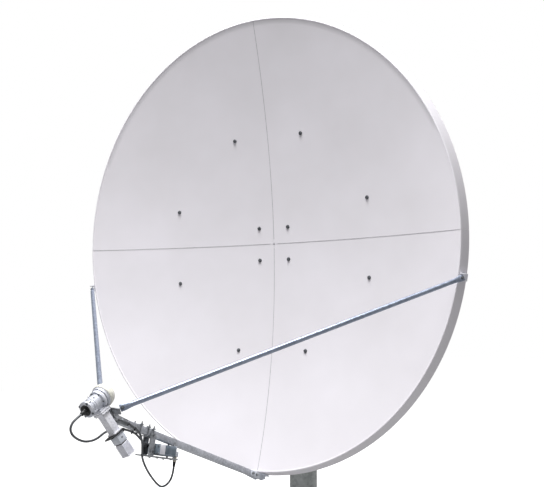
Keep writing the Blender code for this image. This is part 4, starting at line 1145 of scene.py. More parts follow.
# ---- Reflector ---------------------------------------------------------------------------------
@dataclass
class Reflector:
    """Four moulded petals bolted together behind their seams and onto the back frame."""

    places: Places
    fasteners: Fasteners
    skin: float = 0.009
    lip: float = 0.010
    flare: float = 0.025
    wall_depth: float = 0.058
    wall: float = 0.007
    gap: float = 0.0006
    flange_depth: float = 0.028
    flange: float = 0.010
    flange_end: float = 0.012
    flange_steps: int = 40
    bead: tuple[float, float] = (0.0028, 0.0036)
    bead_sink: float = 0.0008
    bead_steps: int = 48
    boss_radius: float = 0.022
    bar_rise: float = 0.037
    hub_grip: float = 0.012
    bar_grip: float = 0.036
    inner_bolt: tuple[float, float] = (0.0967, 0.0957)
    outer_bolt: tuple[float, float] = (0.6304, 0.2227)
    seam_bolt_count: int = 8
    seam_bolt_from: tuple[float, float] = (0.205, 0.060)
    seam_bolt_depth: float = 0.019
    sectors: int = 56
    rings: int = 40
    quarters: dict[str, tuple[int, int]] = field(default_factory=lambda: {
        "upper_right": (1, 1), "upper_left": (-1, 1), "lower_left": (-1, -1),
        "lower_right": (1, -1)})

    def section(self) -> list[tuple[float, float, float, float]]:
        """The petal's section from the middle out, round the rim and back: share, grow, lift,
        follow."""
        inner = 1 - self.lip / OPTICS.half_u
        front = [(inner * (k / self.rings) ** 0.9, 0.0, 0.0, 1.0) for k in range(self.rings + 1)]
        step = OPTICS.depth(OPTICS.half_u * inner, 0)
        edge = [(inner, 0.0006, step + 0.0010, 0.0), (inner, 0.0016, step + 0.0024, 0.0),
                (inner, 0.0030, -0.0006, 0.0), (1.0, -0.0045, 0.0, 0.0),
                (1.0, -0.0018, -0.0005, 0.0), (1.0, 0.0, -0.0024, 0.0)]
        lean = self.flare / self.wall_depth
        outer = [(1.0, lean * d, -d, 0.0) for d in (0.008, 0.020, 0.034, 0.046, 0.054)]
        hem = [(1.0, self.flare - 0.0004, -self.wall_depth + 0.0014, 0.0),
               (1.0, self.flare - 0.0022, -self.wall_depth, 0.0),
               (1.0, self.flare - self.wall + 0.0018, -self.wall_depth, 0.0),
               (1.0, self.flare - self.wall, -self.wall_depth + 0.0016, 0.0)]
        back_wall = [(1.0, self.flare * s - self.wall * (0.6 + 0.4 * s), -d, 0.0)
                     for s, d in ((0.75, 0.043), (0.5, 0.031), (0.28, 0.021))]
        root = [(0.9935, 0.0, -self.skin - 0.0030, 1.0), (0.985, 0.0, -self.skin, 1.0)]
        back = [(0.985 * (1 - k / 24) ** 0.9, 0.0, -self.skin, 1.0) for k in range(1, 25)]
        return front + edge + outer + hem + back_wall + root + back

    def build(self) -> None:
        """Builds the petals, the seams and every bolt."""
        stations = self.section()
        growth = petal_growth(len(stations))
        base = dict(zip(("share", "grow", "lift", "follow"), zip(*stations)))
        ribs = rib_growth()
        for name, (sign_u, sign_v) in self.quarters.items():
            made = growth.run(
                points_mesh([(0, 0, 0)] * len(stations), **base), sectors=self.sectors,
                sign_u=float(sign_u), sign_v=float(sign_v), gap=self.gap,
                half_u=OPTICS.half_u, half_v=OPTICS.half_v, focal=OPTICS.focal,
                finish=Skin.DISH.material)
            self.petal(name, sign_u, sign_v, made, ribs)
        self.seams(ribs)
        self.bolts()
        self.seam_bolts()

    def petal(self, name: str, sign_u: int, sign_v: int, made: bpy.types.Mesh,
              ribs: Growth) -> None:
        """Closes one swept petal at its seams, and adds its flanges and bosses.

        Args:
            name: the petal's place in its name.
            sign_u: 1 right of the middle, -1 left.
            sign_v: 1 above the middle, -1 below.
            made: its swept wall.
            ribs: the tree that makes its flanges.
        """
        work = Work(self.places.rim)
        solid = bmesh.new()
        solid.from_mesh(made)
        bmesh.ops.remove_doubles(solid, verts=solid.verts, dist=2e-5)
        rim = [e for e in solid.edges if e.is_boundary]
        ends = sorted({v for e in rim for v in e.verts}, key=lambda v: v.co.xy.length)[:2]
        spine = solid.edges.new(ends)
        for axis in (0, 1):
            side = [e for e in rim if all(abs(abs(v.co[axis]) - self.gap) < 1e-4 for v in e.verts)]
            bmesh.ops.edgeloop_fill(solid, edges=[*side, spine])
        work.take(solid, Skin.DISH)
        for line, width, height in self.ribs(sign_u, sign_v):
            strip = bmesh.new()
            strip.from_mesh(ribs.run(lines_mesh([line]), width=width, height=height,
                                     finish=Skin.DISH.material))
            work.take(strip, Skin.DISH)
        for u, v, back in self.spots(sign_u, sign_v):
            front = OPTICS.depth(u, v) - self.skin * 0.7
            radius = self.boss_radius
            work.lathe([(0, back), (radius, back), (radius, front - 0.005),
                        (radius + 0.006, front), (0, front)], Skin.DISH, (u, v, 0), Z, 36,
                       0.002)
        work.finish(f"reflector_petal_{name}", FRAME, "dish_gelcoat", [f"petal_{name}"])

    def ribs(self, sign_u: int, sign_v: int) -> list[tuple[list, float, float]]:
        """The flanges behind a petal's two seams.

        Args:
            sign_u: 1 right of the middle, -1 left.
            sign_v: 1 above the middle, -1 below.

        Returns:
            Each line of points, with the flange's depth and thickness.
        """
        found = []
        height = self.flange_depth - self.skin / 2
        for along_u in (True, False):
            reach = (OPTICS.half_u if along_u else OPTICS.half_v) - self.flange_end
            line = []
            for k in range(self.flange_steps + 1):
                far = self.gap + (reach - self.gap) * k / self.flange_steps
                near = self.gap + self.flange / 2
                u, v = (far, near) if along_u else (near, far)
                u, v = sign_u * u, sign_v * v
                line.append((u, v, OPTICS.depth(u, v) - self.skin / 2 - height / 2))
            found.append((line, height, self.flange))
        return found

    def spots(self, sign_u: int, sign_v: int) -> list[tuple[float, float, float]]:
        """One petal's three bolts: u, v and the back of the boss.

        Args:
            sign_u: 1 right of the middle, -1 left.
            sign_v: 1 above the middle, -1 below.

        Returns:
            The bolt by the hub, then the two outer ones.
        """
        hub = self.places.hub_w
        bar = hub + self.bar_rise
        along_u, across = self.outer_bolt
        return [(sign_u * self.inner_bolt[0], sign_v * self.inner_bolt[1], hub + CLEARANCE),
                (sign_u * along_u, sign_v * across, bar + CLEARANCE),
                (sign_u * across, sign_v * along_u, bar + CLEARANCE)]

    def seams(self, ribs: Growth) -> None:
        """The sealant bead that fills the joint between the petals, proud by half a millimetre.

        Args:
            ribs: the tree that makes the bead.
        """
        lines = []
        for along_u in (True, False):
            reach = (OPTICS.half_u if along_u else OPTICS.half_v) - self.lip
            for sign in (-1, 1):
                line = []
                for k in range(1, self.bead_steps + 1):
                    far = sign * reach * k / self.bead_steps
                    u, v = (far, 0.0) if along_u else (0.0, far)
                    line.append((u, v, OPTICS.depth(u, v) - self.bead_sink))
                lines.append(line)
        deep, wide = self.bead
        made = ribs.run(lines_mesh(lines), width=deep, height=wide, finish=Skin.SEAL.material)
        made.transform(self.places.rim)
        settle("seam_sealant", made, FRAME)
        work = Work(self.places.rim)
        middle = OPTICS.depth(0, 0)
        work.lathe([(0, middle - 0.004), (0.007, middle - 0.004), (0.007, middle + 0.0008),
                    (0, middle + 0.0018)], Skin.SEAL, corner=0.0006)
        work.finish("centre_sealant_dab", FRAME, "dish_gelcoat")

    def bolts(self) -> None:
        """The twelve through bolts: head and washer in front, nut and washer behind."""
        rim = self.places.rim
        turn = rim.to_3x3()
        heads, tails, nodes = [], [], []
        for name, signs in self.quarters.items():
            for spot, (u, v, back) in zip(("hub", "side", "top"), self.spots(*signs)):
                front = OPTICS.depth(u, v)
                slope = Vector((-(OPTICS.depth(u + 0.01, v) - front) / 0.01,
                                -(OPTICS.depth(u, v + 0.01) - front) / 0.01, 1)).normalized()
                heads.append((rim @ Vector((u, v, front)), turn @ slope, u * 7 + v * 3))
                behind = back - (self.hub_grip if spot == "hub" else self.bar_grip)
                tails.append((rim @ Vector((u, v, behind - CLEARANCE)),
                              turn @ Vector((0, 0, -1)), u + v))
                nodes.append(f"reflector_bolt_{name}_{spot}")
        head = Work()
        head.lathe([(0, -0.030), (0.005, -0.030), (0.005, 0.0002), (0.0115, 0.0002),
                    (0.0115, 0.0018), (0, 0.0018)], Skin.DARK_BOLT, sides=28, corner=0.0004)
        head.hexagon((0, 0, 0.0018), Z, 0.017, 0.0056, Skin.DARK_BOLT)
        self.fasteners.set("reflector_bolt_heads", head, heads, replaces=nodes)
        nut = Nut(washer=0.0115, seat=0.0016, across=0.017, height=0.0082).pattern()
        nut.rod((0, 0, 0), (0, 0, 0.0145), 0.0049, Skin.BOLT, 20)
        self.fasteners.set("reflector_bolt_nuts", nut, tails)

    def seam_bolts(self) -> None:
        """Bolts through the paired flanges, with a nut and washer on each side of each seam."""
        rim = self.places.rim
        turn = rim.to_3x3()
        first, last = self.seam_bolt_from
        spots = []
        for along_u in (True, False):
            reach = OPTICS.half_u if along_u else OPTICS.half_v
            for sign in (-1, 1):
                for k in range(self.seam_bolt_count):
                    share = k / (self.seam_bolt_count - 1)
                    far = sign * (first + (reach - last - first) * share)
                    for side in (-1, 1):
                        near = side * (self.gap + self.flange)
                        u, v = (far, near) if along_u else (near, far)
                        way = Vector((0, side, 0)) if along_u else Vector((side, 0, 0))
                        w = OPTICS.depth(u, v) - self.seam_bolt_depth
                        spots.append((rim @ Vector((u, v, w)), turn @ way, far * 5))
        nut = Nut(washer=0.0082, seat=0.0012, across=0.0125, height=0.0056, sink=0.002,
                  sides=20, corner=0.0003)
        self.fasteners.set("seam_flange_bolts", nut.pattern(), spots)


# ---- Back frame --------------------------------------------------------------------------------
@dataclass
class BackFrame:
    """The hub tray, its four arms with their crossbars, and the yoke that carries them."""

    places: Places
    fasteners: Fasteners
    arm: float = 0.050
    arm_rise: float = 0.045
    crossbar: float = 0.050
    crossbar_depth: float = 0.036
    crossbar_rise: float = 0.037
    crossbar_half: float = 0.260
    outer_at: float = 0.6304
    wall: float = 0.004

    def build(self) -> None:
        """Builds the arms, the hub and the yoke."""
        for name, turn in (("right", 0), ("top", 90), ("left", 180), ("bottom", 270)):
            self.back_arm(name, self.places.dish @ Matrix.Rotation(math.radians(turn), 4, "Z"))
        self.hub()
        self.yoke()

    def back_arm(self, name: str, place: Matrix) -> None:
        """A square tube that leans towards the petals, with a tube crossbar and its welds.

        Args:
            name: the arm's place in its name.
            place: a frame on the elevation axis whose X is along the arm.
        """
        front = self.places.pivot_to_hub
        start, end = 0.1304, self.outer_at + self.crossbar / 2
        root = front - 0.013 - self.arm
        half = self.arm / 2
        lean = math.atan2(self.arm_rise, end - start)
        run = (end - self.crossbar - start) / math.cos(lean) + 0.002
        work = Work(place)
        along_arm = Matrix.Translation((start, 0, root)) @ Matrix.Rotation(-lean, 4, "Y")
        work.block((0.0, -half, 0.0), (run, half, self.arm * math.cos(lean)), Skin.TUBE, 0.005,
                   along_arm)
        bar = front + self.crossbar_rise
        low, high = bar - self.crossbar_depth, bar
        wide = self.crossbar / 2
        near_edge = self.outer_at - wide
        work.take(square_tube(rectangle(near_edge, low, end, high),
                              rectangle(near_edge + self.wall, low + self.wall,
                                        end - self.wall, high - self.wall),
                              -self.crossbar_half, self.crossbar_half, 0.005), Skin.TUBE)
        for side in (-1, 1):
            near = side * half
            work.tube([(near_edge - 0.001, near, low + 0.004 + (high - low) * k / 8)
                       for k in range(8)], 0.0028, Skin.WELD, 8)
        work.tube([(near_edge - 0.001, half - k * self.arm / 8, high + 0.001)
                   for k in range(9)], 0.0026, Skin.WELD, 8)
        work.plate(rectangle(start, root - 0.004, start + 0.005, root + 0.058), -half - 0.016,
                   half + 0.016, "XZ", Skin.HEAD, 0.001)
        for side in (-1, 1):
            for rise in (0.010, 0.044):
                work.bolt((start + 0.005, side * (half + 0.008), root + rise), (1, 0, 0), 0.004,
                          Skin.BOLT)
        work.finish(f"back_arm_tube_{name}", FRAME, "galvanised_tube", [f"back_arm_{name}"])

    def hub(self) -> None:
        """The hub tray with the jack's lugs, bolted to the yoke's plate."""
        Work().copy("hub_frame", Skin.HEAD, 0.0015).finish("hub_tray", FRAME, STEEL, ["hub_frame"])
        pins = Work()
        low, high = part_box("rod_pin")
        middle = (low + high) / 2
        pins.rod((low.x, middle.y, middle.z), (high.x, middle.y, middle.z), 0.009, Skin.BOLT, 28,
                 0.001)
        for x, way in ((low.x, 1), (high.x, -1)):
            pins.lathe(disc(0.0125, 0, 0.0028), Skin.BOLT,
                       (x + way * 0.0006, middle.y, middle.z), (way, 0, 0), 28, 0.0005)
        pins.finish("rod_clevis_pin", FRAME, FASTENER, ["rod_pin"])

    def yoke(self) -> None:
        """The yoke, with gussets, fillet welds and the bolts to the hub."""
        work = Work()
        work.copy("elevation_yoke", Skin.HEAD, 0.0015)
        dish = self.places.dish
        back = self.places.pivot_to_hub - 0.090 - 0.0004 - 0.011
        local = Work(dish)
        for side in (-1, 1):
            for edge in (-0.006, 0.006):
                x = side * 0.096 + edge
                local.tube([(x, -0.108 + k * 0.018, back - 0.0008) for k in range(13)], 0.0032,
                           Skin.WELD, 8)
        merge(work, local)
        work.finish("elevation_yoke_welded", FRAME, STEEL, ["elevation_yoke"])
        turn = dish.to_3x3()
        spots = []
        for x in (-0.112, 0.0, 0.112):
            for y in (-0.112, 0.112):
                spots.append((dish @ Vector((x, y, back)), turn @ Vector((0, 0, -1)), x * 9))
        nut = Nut(washer=0.0115, seat=0.0018, across=0.017, height=0.0065)
        self.fasteners.set("yoke_bolts", nut.pattern(), spots)


def square_tube(outline: Outline, bore: Outline, low: float, high: float, corner: float) -> Solid:
    """A hollow square tube open at both ends, its sections given in XZ and run along Y.

    Args:
        outline: the outer section.
        bore: the inner section.
        low: where it starts on Y.
        high: where it ends on Y.
        corner: the outer corners' rounding; the inner ones get half.

    Returns:
        The solid.
    """
    outer, inner = softened(outline, corner), softened(bore, corner * 0.5)
    solid = bmesh.new()
    rings = [[solid.verts.new((x, y, z)) for x, z in section]
             for section, y in ((outer, low), (outer, high), (inner, high), (inner, low))]
    bridge(solid, rings + rings[:1])
    return solid


# ---- Mast and azimuth head ---------------------------------------------------------------------
@dataclass
class Mount:
    """The pipe mast, its base, the azimuth collar and the canister head with its bolts."""

    places: Places
    mast_radius: float = 0.08415
    mast_wall: float = 0.0071
    plate: float = 0.020
    canister_radius: float = 0.08415 + 0.0012 + 0.009
    canister_top: float = -0.265
    canister_run: float = 0.295
    ear_x: float = 0.080

    def build(self) -> None:
        """Builds everything that stands still in elevation."""
        self.mast()
        self.collar()
        self.canister()
        self.shaft()
        self.push_bolts()

    def mast(self) -> None:
        """The base plate with gussets and welds, and the pipe that stands on it."""
        work = Work()
        work.copy("mast_base_plate", Skin.MAST, 0.0015)
        ring = [(x, y, self.plate + 0.0015) for x, y in circle(48, self.mast_radius + 0.0035)]
        work.tube(ring + ring[:1], 0.0042, Skin.WELD, 8)
        for k in range(4):
            turn = Matrix.Rotation(k * math.pi / 2, 3, "Z")
            for side in (-1, 1):
                path = [turn @ Vector((self.mast_radius + 0.012 + 0.0075 * n, side * 0.0065,
                                       self.plate + 0.0012)) for n in range(13)]
                work.tube(path, 0.0032, Skin.WELD, 8)
        work.finish("mast_base", "mast", STEEL, ["mast_base_plate"])
        low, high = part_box("mast_pipe")
        pipe = Work()
        inner = self.mast_radius - self.mast_wall
        pipe.lathe(disc(self.mast_radius, low.z, high.z, inner), Skin.MAST, sides=72, corner=0.0015)
        pipe.finish("mast_tube", "mast", STEEL, ["mast_pipe"])

    def collar(self) -> None:
        """The split collar below the canister, its tongue and its clamp bolt."""
        Work().copy("azimuth_collar", Skin.HEAD, 0.0012).finish(
            "azimuth_collar_clamp", "azimuth_clamp", STEEL, ["azimuth_collar"])
        low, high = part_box("collar_clamp_bolt")
        middle = (low + high) / 2
        bolt = Work()
        bolt.rod((middle.x, low.y + 0.002, middle.z), (middle.x, high.y, middle.z), 0.0048,
                 Skin.BOLT)
        bolt.hexagon((middle.x, low.y + 0.0065, middle.z), (0, -1, 0), 0.017, 0.0064, Skin.BOLT)
        bolt.hexagon((middle.x, 0.0184, middle.z), (0, 1, 0), 0.017, 0.0080, Skin.BOLT)
        bolt.finish("collar_bolt_and_nut", "azimuth_clamp", FASTENER, ["collar_clamp_bolt"])

    def canister(self) -> None:
        """The canister with its ears and bracket, welds, lock bolts and elevation scale."""
        work = Work()
        work.copy("azimuth_canister", Skin.HEAD, 0.0012)
        pivot = self.places.joint("elevation")
        top = pivot.z + self.canister_top
        for side in (-1, 1):
            for edge in (-0.0065, 0.0065):
                x = side * self.ear_x + edge
                reach = math.sqrt(max(self.canister_radius**2 - x * x, 0.0004)) - 0.004
                work.tube([(x, -reach + 2 * reach * k / 14, top + 0.0010) for k in range(15)],
                          0.0032, Skin.WELD, 8)
        low = top - self.canister_run
        for k in range(6):
            angle = math.radians(30 + 60 * k)
            way = Vector((math.cos(angle), math.sin(angle), 0))
            if way.y > 0.99 or (way.x > 0.8 and way.y < 0.2):
                continue
            level = Vector((0, 0, low + 0.045))
            work.lathe(disc(0.0135, 0, 0.006), Skin.HEAD,
                       way * (self.canister_radius - 0.002) + level, way, 30, 0.001)
            work.bolt(way * (self.canister_radius + 0.004) + level, way, 0.006, Skin.BOLT,
                      washer=False)
        work.finish("azimuth_canister_head", "azimuth_head", STEEL, ["azimuth_canister"])
        low_x, high_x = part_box("canister_lock_bolt")
        middle = (low_x + high_x) / 2
        lock = Work()
        lock.rod((high_x.x, middle.y, middle.z), (low_x.x + 0.002, middle.y, middle.z), 0.0078,
                 Skin.BOLT)
        lock.hexagon((low_x.x + 0.011, middle.y, middle.z), (-1, 0, 0), 0.0225, 0.0108, Skin.BOLT)
        lock.hexagon((-self.canister_radius - 0.0004, middle.y, middle.z), (-1, 0, 0), 0.0225,
                     0.0090, Skin.BOLT)
        lock.finish("canister_lock_screw", "azimuth_head", FASTENER, ["canister_lock_bolt"])
        self.scale()

    def scale(self) -> None:
        """A plain etched elevation scale on the left ear: ticks and no figures."""
        pivot = self.places.joint("elevation")
        face = pivot.x - self.ear_x - 0.006
        work = Work(Matrix.Translation(pivot))
        arc = [math.radians(190 + 5 * k) for k in range(17)]
        outer = [(0.052 * math.cos(a), 0.052 * math.sin(a)) for a in arc]
        inner = [(0.036 * math.cos(a), 0.036 * math.sin(a)) for a in reversed(arc)]
        work.plate(outer + inner, face - pivot.x - 0.0010, face - pivot.x + 0.0006, "YZ",
                   Skin.SCALE, 0.0)
        for k in range(33):
            angle = math.radians(190.5 + 2.47 * k)
            length = 0.009 if k % 4 == 0 else 0.005
            way = Vector((0, math.cos(angle), math.sin(angle)))
            start = Vector((face - pivot.x - 0.0011, 0, 0))
            work.tube([start + way * 0.0505, start + way * (0.0505 - length)], 0.0004,
                      Skin.BLACK, 6)
        work.finish("elevation_scale", "azimuth_head", STEEL)

    def shaft(self) -> None:
        """The elevation shaft with its head, washers and nut."""
        low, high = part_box("elevation_shaft")
        middle = (low + high) / 2
        work = Work()
        work.rod((high.x, middle.y, middle.z), (low.x + 0.004, middle.y, middle.z), 0.0123,
                 Skin.BOLT, 36)
        work.hexagon((low.x + 0.0138, middle.y, middle.z), (-1, 0, 0), 0.0362, 0.0134, Skin.BOLT)
        work.finish("elevation_shaft_bolt", "azimuth_head", FASTENER, ["elevation_shaft"])
        low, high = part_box("shaft_nut")
        nut = Work()
        nut.hexagon((low.x + 0.0001, middle.y, middle.z), (1, 0, 0), 0.0362,
                    high.x - low.x - 0.0002, Skin.BOLT, 0.0127)
        nut.finish("elevation_shaft_nut", "azimuth_head", FASTENER, ["shaft_nut"])

    def push_bolts(self) -> None:
        """The two push bolts that turn the head on the collar's tongue."""
        for side, name in ((-1, "left"), (1, "right")):
            low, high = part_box(f"azimuth_push_bolt_{name}")
            middle = (low + high) / 2
            tip, head = (high.x, low.x) if side < 0 else (low.x, high.x)
            work = Work()
            work.rod((tip, middle.y, middle.z), (head - side * 0.004, middle.y, middle.z),
                     0.0057, Skin.BOLT, 24, 0.0012)
            work.hexagon((head - side * 0.0078, middle.y, middle.z), (side, 0, 0), 0.018, 0.0077,
                         Skin.BOLT)
            work.finish(f"push_bolt_{name}_turned", f"push_bolt_{name}", FASTENER,
                        [f"azimuth_push_bolt_{name}"])


# ---- Elevation jack ----------------------------------------------------------------------------
@dataclass
class Jack:
    """The threaded rod between the hub's lugs and the trunnion block, with its two nuts."""

    places: Places
    rod_radius: float = 0.012
    rod_run: float = 0.630
    eye_radius: float = 0.021
    eye_width: float = 0.034
    pitch: float = 0.003
    block: float = 0.050

    def build(self) -> None:
        """Builds the rod with its thread, the block and the nuts."""
        top, low = self.places.joint("rod_hinge"), self.places.joint("trunnion_hinge")
        down = (low - top).normalized()
        work = Work()
        core = self.rod_radius - 0.0009
        work.rod(top + down * 0.010, top + down * self.rod_run, core, Skin.BOLT, 28, 0.0015)
        half = self.eye_width / 2
        work.lathe(disc(self.eye_radius, -half, half, 0.0094), Skin.BOLT, top, (1, 0, 0), 40,
                   0.0015)
        turns = (self.rod_run - 0.050) / self.pitch
        coil = thread_growth().run(points_mesh([(0, 0, 0)]), radius=core, pitch=self.pitch,
                                   turns=turns, depth=0.0009, finish=Skin.BOLT.material)
        thread = bmesh.new()
        thread.from_mesh(coil)
        work.take(thread, Skin.BOLT, along(top + down * 0.040, down))
        work.finish("threaded_jack_rod", "jack_rod", FASTENER, ["elevation_rod"])
        self.trunnion()
        for name, way in (("upper", -1), ("lower", 1)):
            nut = Work()
            seat = low + down * way * (self.block / 2 + CLEARANCE)
            nut.lathe(disc(0.0185, 0, 0.0025, 0.0128), Skin.BOLT, seat, down * way, 36, 0.0005)
            nut.hexagon(seat + down * way * 0.0026, down * way, 0.0325, 0.0130, Skin.BOLT, 0.0128)
            nut.finish(f"jack_nut_{name}_hexagon", "trunnion", FASTENER, [f"jack_nut_{name}"])

    def trunnion(self) -> None:
        """The pivoting block that the rod runs through."""
        Work().copy("trunnion_block", Skin.HEAD, 0.0010).finish(
            "trunnion_block_machined", "trunnion", STEEL, ["trunnion_block"])


# ---- Feed support ------------------------------------------------------------------------------
@dataclass
class FeedSupport:
    """The boom with its end brackets, and the two side struts with their rim feet."""

    places: Places
    fasteners: Fasteners
    boom: float = 0.032
    boom_wall: float = 0.003
    strut_radius: float = 0.012
    strut_feed_x: float = 0.050
    rim_angle: float = math.radians(10.6)
    strut_out: float = 0.0250
    strut_behind: float = 0.006
    cheek_x: float = 0.0166
    cheek: float = 0.004
    ring_screws: float = 0.040
    upper_bolts: tuple[float, ...] = (0.018, 0.048)
    foot_bolts: tuple[float, ...] = (0.075, 0.030)
    u_bolts: tuple[float, ...] = (0.165, 0.225, 0.262)
    feed_plate: tuple[float, float] = (0.0750, 0.0290)
    pressed: float = 0.018
    pressed_run: float = 0.042
    eye: float = 0.011

    def build(self) -> None:
        """Builds the boom, its brackets and the struts."""
        self.tube()
        self.brackets()
        self.ring()
        for side, name in ((-1, "left"), (1, "right")):
            self.strut(side, name)

    @property
    def run(self) -> float:
        """The boom's length."""
        upper, foot = self.places.boom_ends
        return (foot - upper).length

    def tube(self) -> None:
        """The boom: a square tube with rounded corners and a black block across its bore near its
        feed end.
        """
        half, inner = self.boom / 2, self.boom / 2 - self.boom_wall
        work = Work(self.places.boom)
        work.take(square_tube(rectangle(-half, -half, half, half),
                              rectangle(-inner, -inner, inner, inner), 0, self.run, 0.0045),
                  Skin.TUBE)
        work.block((-inner, 0.004, -inner), (inner, 0.008, inner), Skin.BLACK, 0.001)
        work.finish("feed_boom_tube", FRAME, "zinc_tube", ["feed_boom"])

    def brackets(self) -> None:
        """The feed bracket and the rim foot, with their through bolts."""
        for node, name, skin in (("feed_bracket", "feed_end_bracket", Skin.HEAD),
                                 ("boom_foot_bracket", "boom_rim_bracket", Skin.PALE),
                                 ("strut_foot_left", "strut_rim_foot_left", Skin.WHITE),
                                 ("strut_foot_right", "strut_rim_foot_right", Skin.WHITE)):
            Work().copy(node, skin, 0.0008).finish(name, FRAME, STEEL, [node])
        boom = self.places.boom
        turn = boom.to_3x3()
        spots = []
        face = self.cheek_x + self.cheek
        for y in (*self.upper_bolts, *(self.run - far for far in self.foot_bolts)):
            for side in (-1, 1):
                spots.append((boom @ Vector((side * face, y, 0)), turn @ Vector((side, 0, 0)),
                              y * 9))
        nut = Nut(washer=0.0088, seat=0.0014, across=0.013, height=0.0055, sink=0.001,
                  sides=24, corner=0.0003).pattern()
        nut.rod((0, 0, 0.001), (0, 0, 0.0105), 0.0039, Skin.BOLT, 16)
        self.fasteners.set("boom_through_bolts", nut, spots)
        self.boom_studs()

    def boom_studs(self) -> None:
        """Three U-bolts round the boom, with their nuts and straps on its top face."""
        half = self.boom / 2
        work = Work(self.places.boom)
        for y in self.u_bolts:
            path = [(0.020, y, half + 0.016), (0.020, y, -half - 0.002),
                    (0.015, y, -half - 0.006), (-0.015, y, -half - 0.006),
                    (-0.020, y, -half - 0.002), (-0.020, y, half + 0.016)]
            work.tube(path, 0.003, Skin.BOLT, 12)
            work.block((-0.027, y - 0.008, half), (0.027, y + 0.008, half + 0.003), Skin.HEAD,
                       0.0008)
            for x in (-0.020, 0.020):
                work.hexagon((x, y, half + 0.003), (0, 0, 1), 0.011, 0.005, Skin.BOLT)
        work.finish("boom_u_bolts", FRAME, FASTENER)

    def ring(self) -> None:
        """The split clamp ring that the feed turns in, with its pinch screws."""
        work = Work()
        work.copy("feed_clamp_ring", Skin.CAST, 0.0008)
        still = Work(self.places.feed(0.0))
        for x in (-0.013, 0.013):
            still.bolt((x, 0.068, -0.016), (0, 0, -1), 0.003, Skin.BOLT)
        for angle in (35, 145, 215, 325):
            (x, y), = circle(1, self.ring_screws, angle)
            still.rod((x, y, -0.0162), (x, y, -0.0182), 0.0028, Skin.BOLT)
        merge(work, still)
        work.finish("feed_clamp_ring_cast", FRAME, "cast_aluminium", ["feed_clamp_ring"])

    def strut_ends(self, side: int) -> tuple[Vector, Vector]:
        """Feed end and rim end of a strut, in rim coordinates.

        Args:
            side: -1 left, 1 right.

        Returns:
            The feed end, then the rim end.
        """
        down = self.places.aim.cross(Vector((1, 0, 0)))
        below, forward = self.feed_plate
        plate = self.places.mouth + down * below + self.places.aim * forward
        near = Vector((side * self.strut_feed_x, plate.y, plate.z))
        cos, sin = math.cos(self.rim_angle), math.sin(self.rim_angle)
        edge = Vector((side * OPTICS.half_u * cos, -OPTICS.half_v * sin, 0))
        out = Vector((side * cos / OPTICS.half_u, -sin / OPTICS.half_v, 0)).normalized()
        return near, edge + out * self.strut_out - Vector((0, 0, self.strut_behind))

    def strut(self, side: int, name: str) -> None:
        """A drawn tube whose two ends are pressed flat for their bolts.

        Args:
            side: -1 left, 1 right.
            name: left or right.
        """
        near, far = self.strut_ends(side)
        work = Work(self.places.rim)
        solid = bmesh.new()
        way = (far - near).normalized()
        across = Vector((0, 0, 1)).cross(way).normalized()
        other = way.cross(across)
        run = (far - near).length
        stations = [0, 0.002, 0.018, 0.030, 0.046, 0.062]
        stations += [run * k / 14 for k in range(1, 14)]
        stations += [run - s for s in (0.062, 0.046, 0.030, 0.018, 0.002, 0)]
        rings = []
        for s in stations:
            from_end = min(s, run - s)
            press = min(1.0, max(0.0, (from_end - self.pressed) / self.pressed_run))
            press = press * press * (3 - 2 * press)
            thin = self.strut_radius * (0.30 + 0.70 * press)
            wide = self.strut_radius * (1.38 - 0.38 * press)
            if from_end < 0.001:
                thin, wide = thin * 0.8, wide * 0.92
            centre = near + way * s
            rings.append([solid.verts.new(centre + across * wide * x + other * thin * y)
                          for x, y in circle(28)])
        bridge(solid, rings, capped=True)
        work.take(solid, Skin.STRUT)
        for end, inward in ((near, way), (far, -way)):
            seat = end + inward * self.eye
            work.bolt(seat + other * self.strut_radius * 0.30, other, 0.004, Skin.DARK_BOLT)
            work.bolt(seat - other * self.strut_radius * 0.30, -other, 0.004, Skin.DARK_BOLT)
        work.finish(f"strut_tube_{name}", FRAME, "strut_tube", [f"strut_{name}"])


def merge(work: Work, other: Work) -> None:
    """Moves the solids of one piece in the making into another.

    Args:
        work: the piece that gets them.
        other: the piece that they leave; it is used up.
    """
    carrier = bpy.data.meshes.new("carrier")
    other.mesh.to_mesh(carrier)
    other.mesh.free()
    for skin in other.skins:
        if skin not in work.skins:
            work.skins.append(skin)
    for polygon in carrier.polygons:
        polygon.material_index = work.skins.index(other.skins[polygon.material_index])
    work.mesh.from_mesh(carrier)
    bpy.data.meshes.remove(carrier)


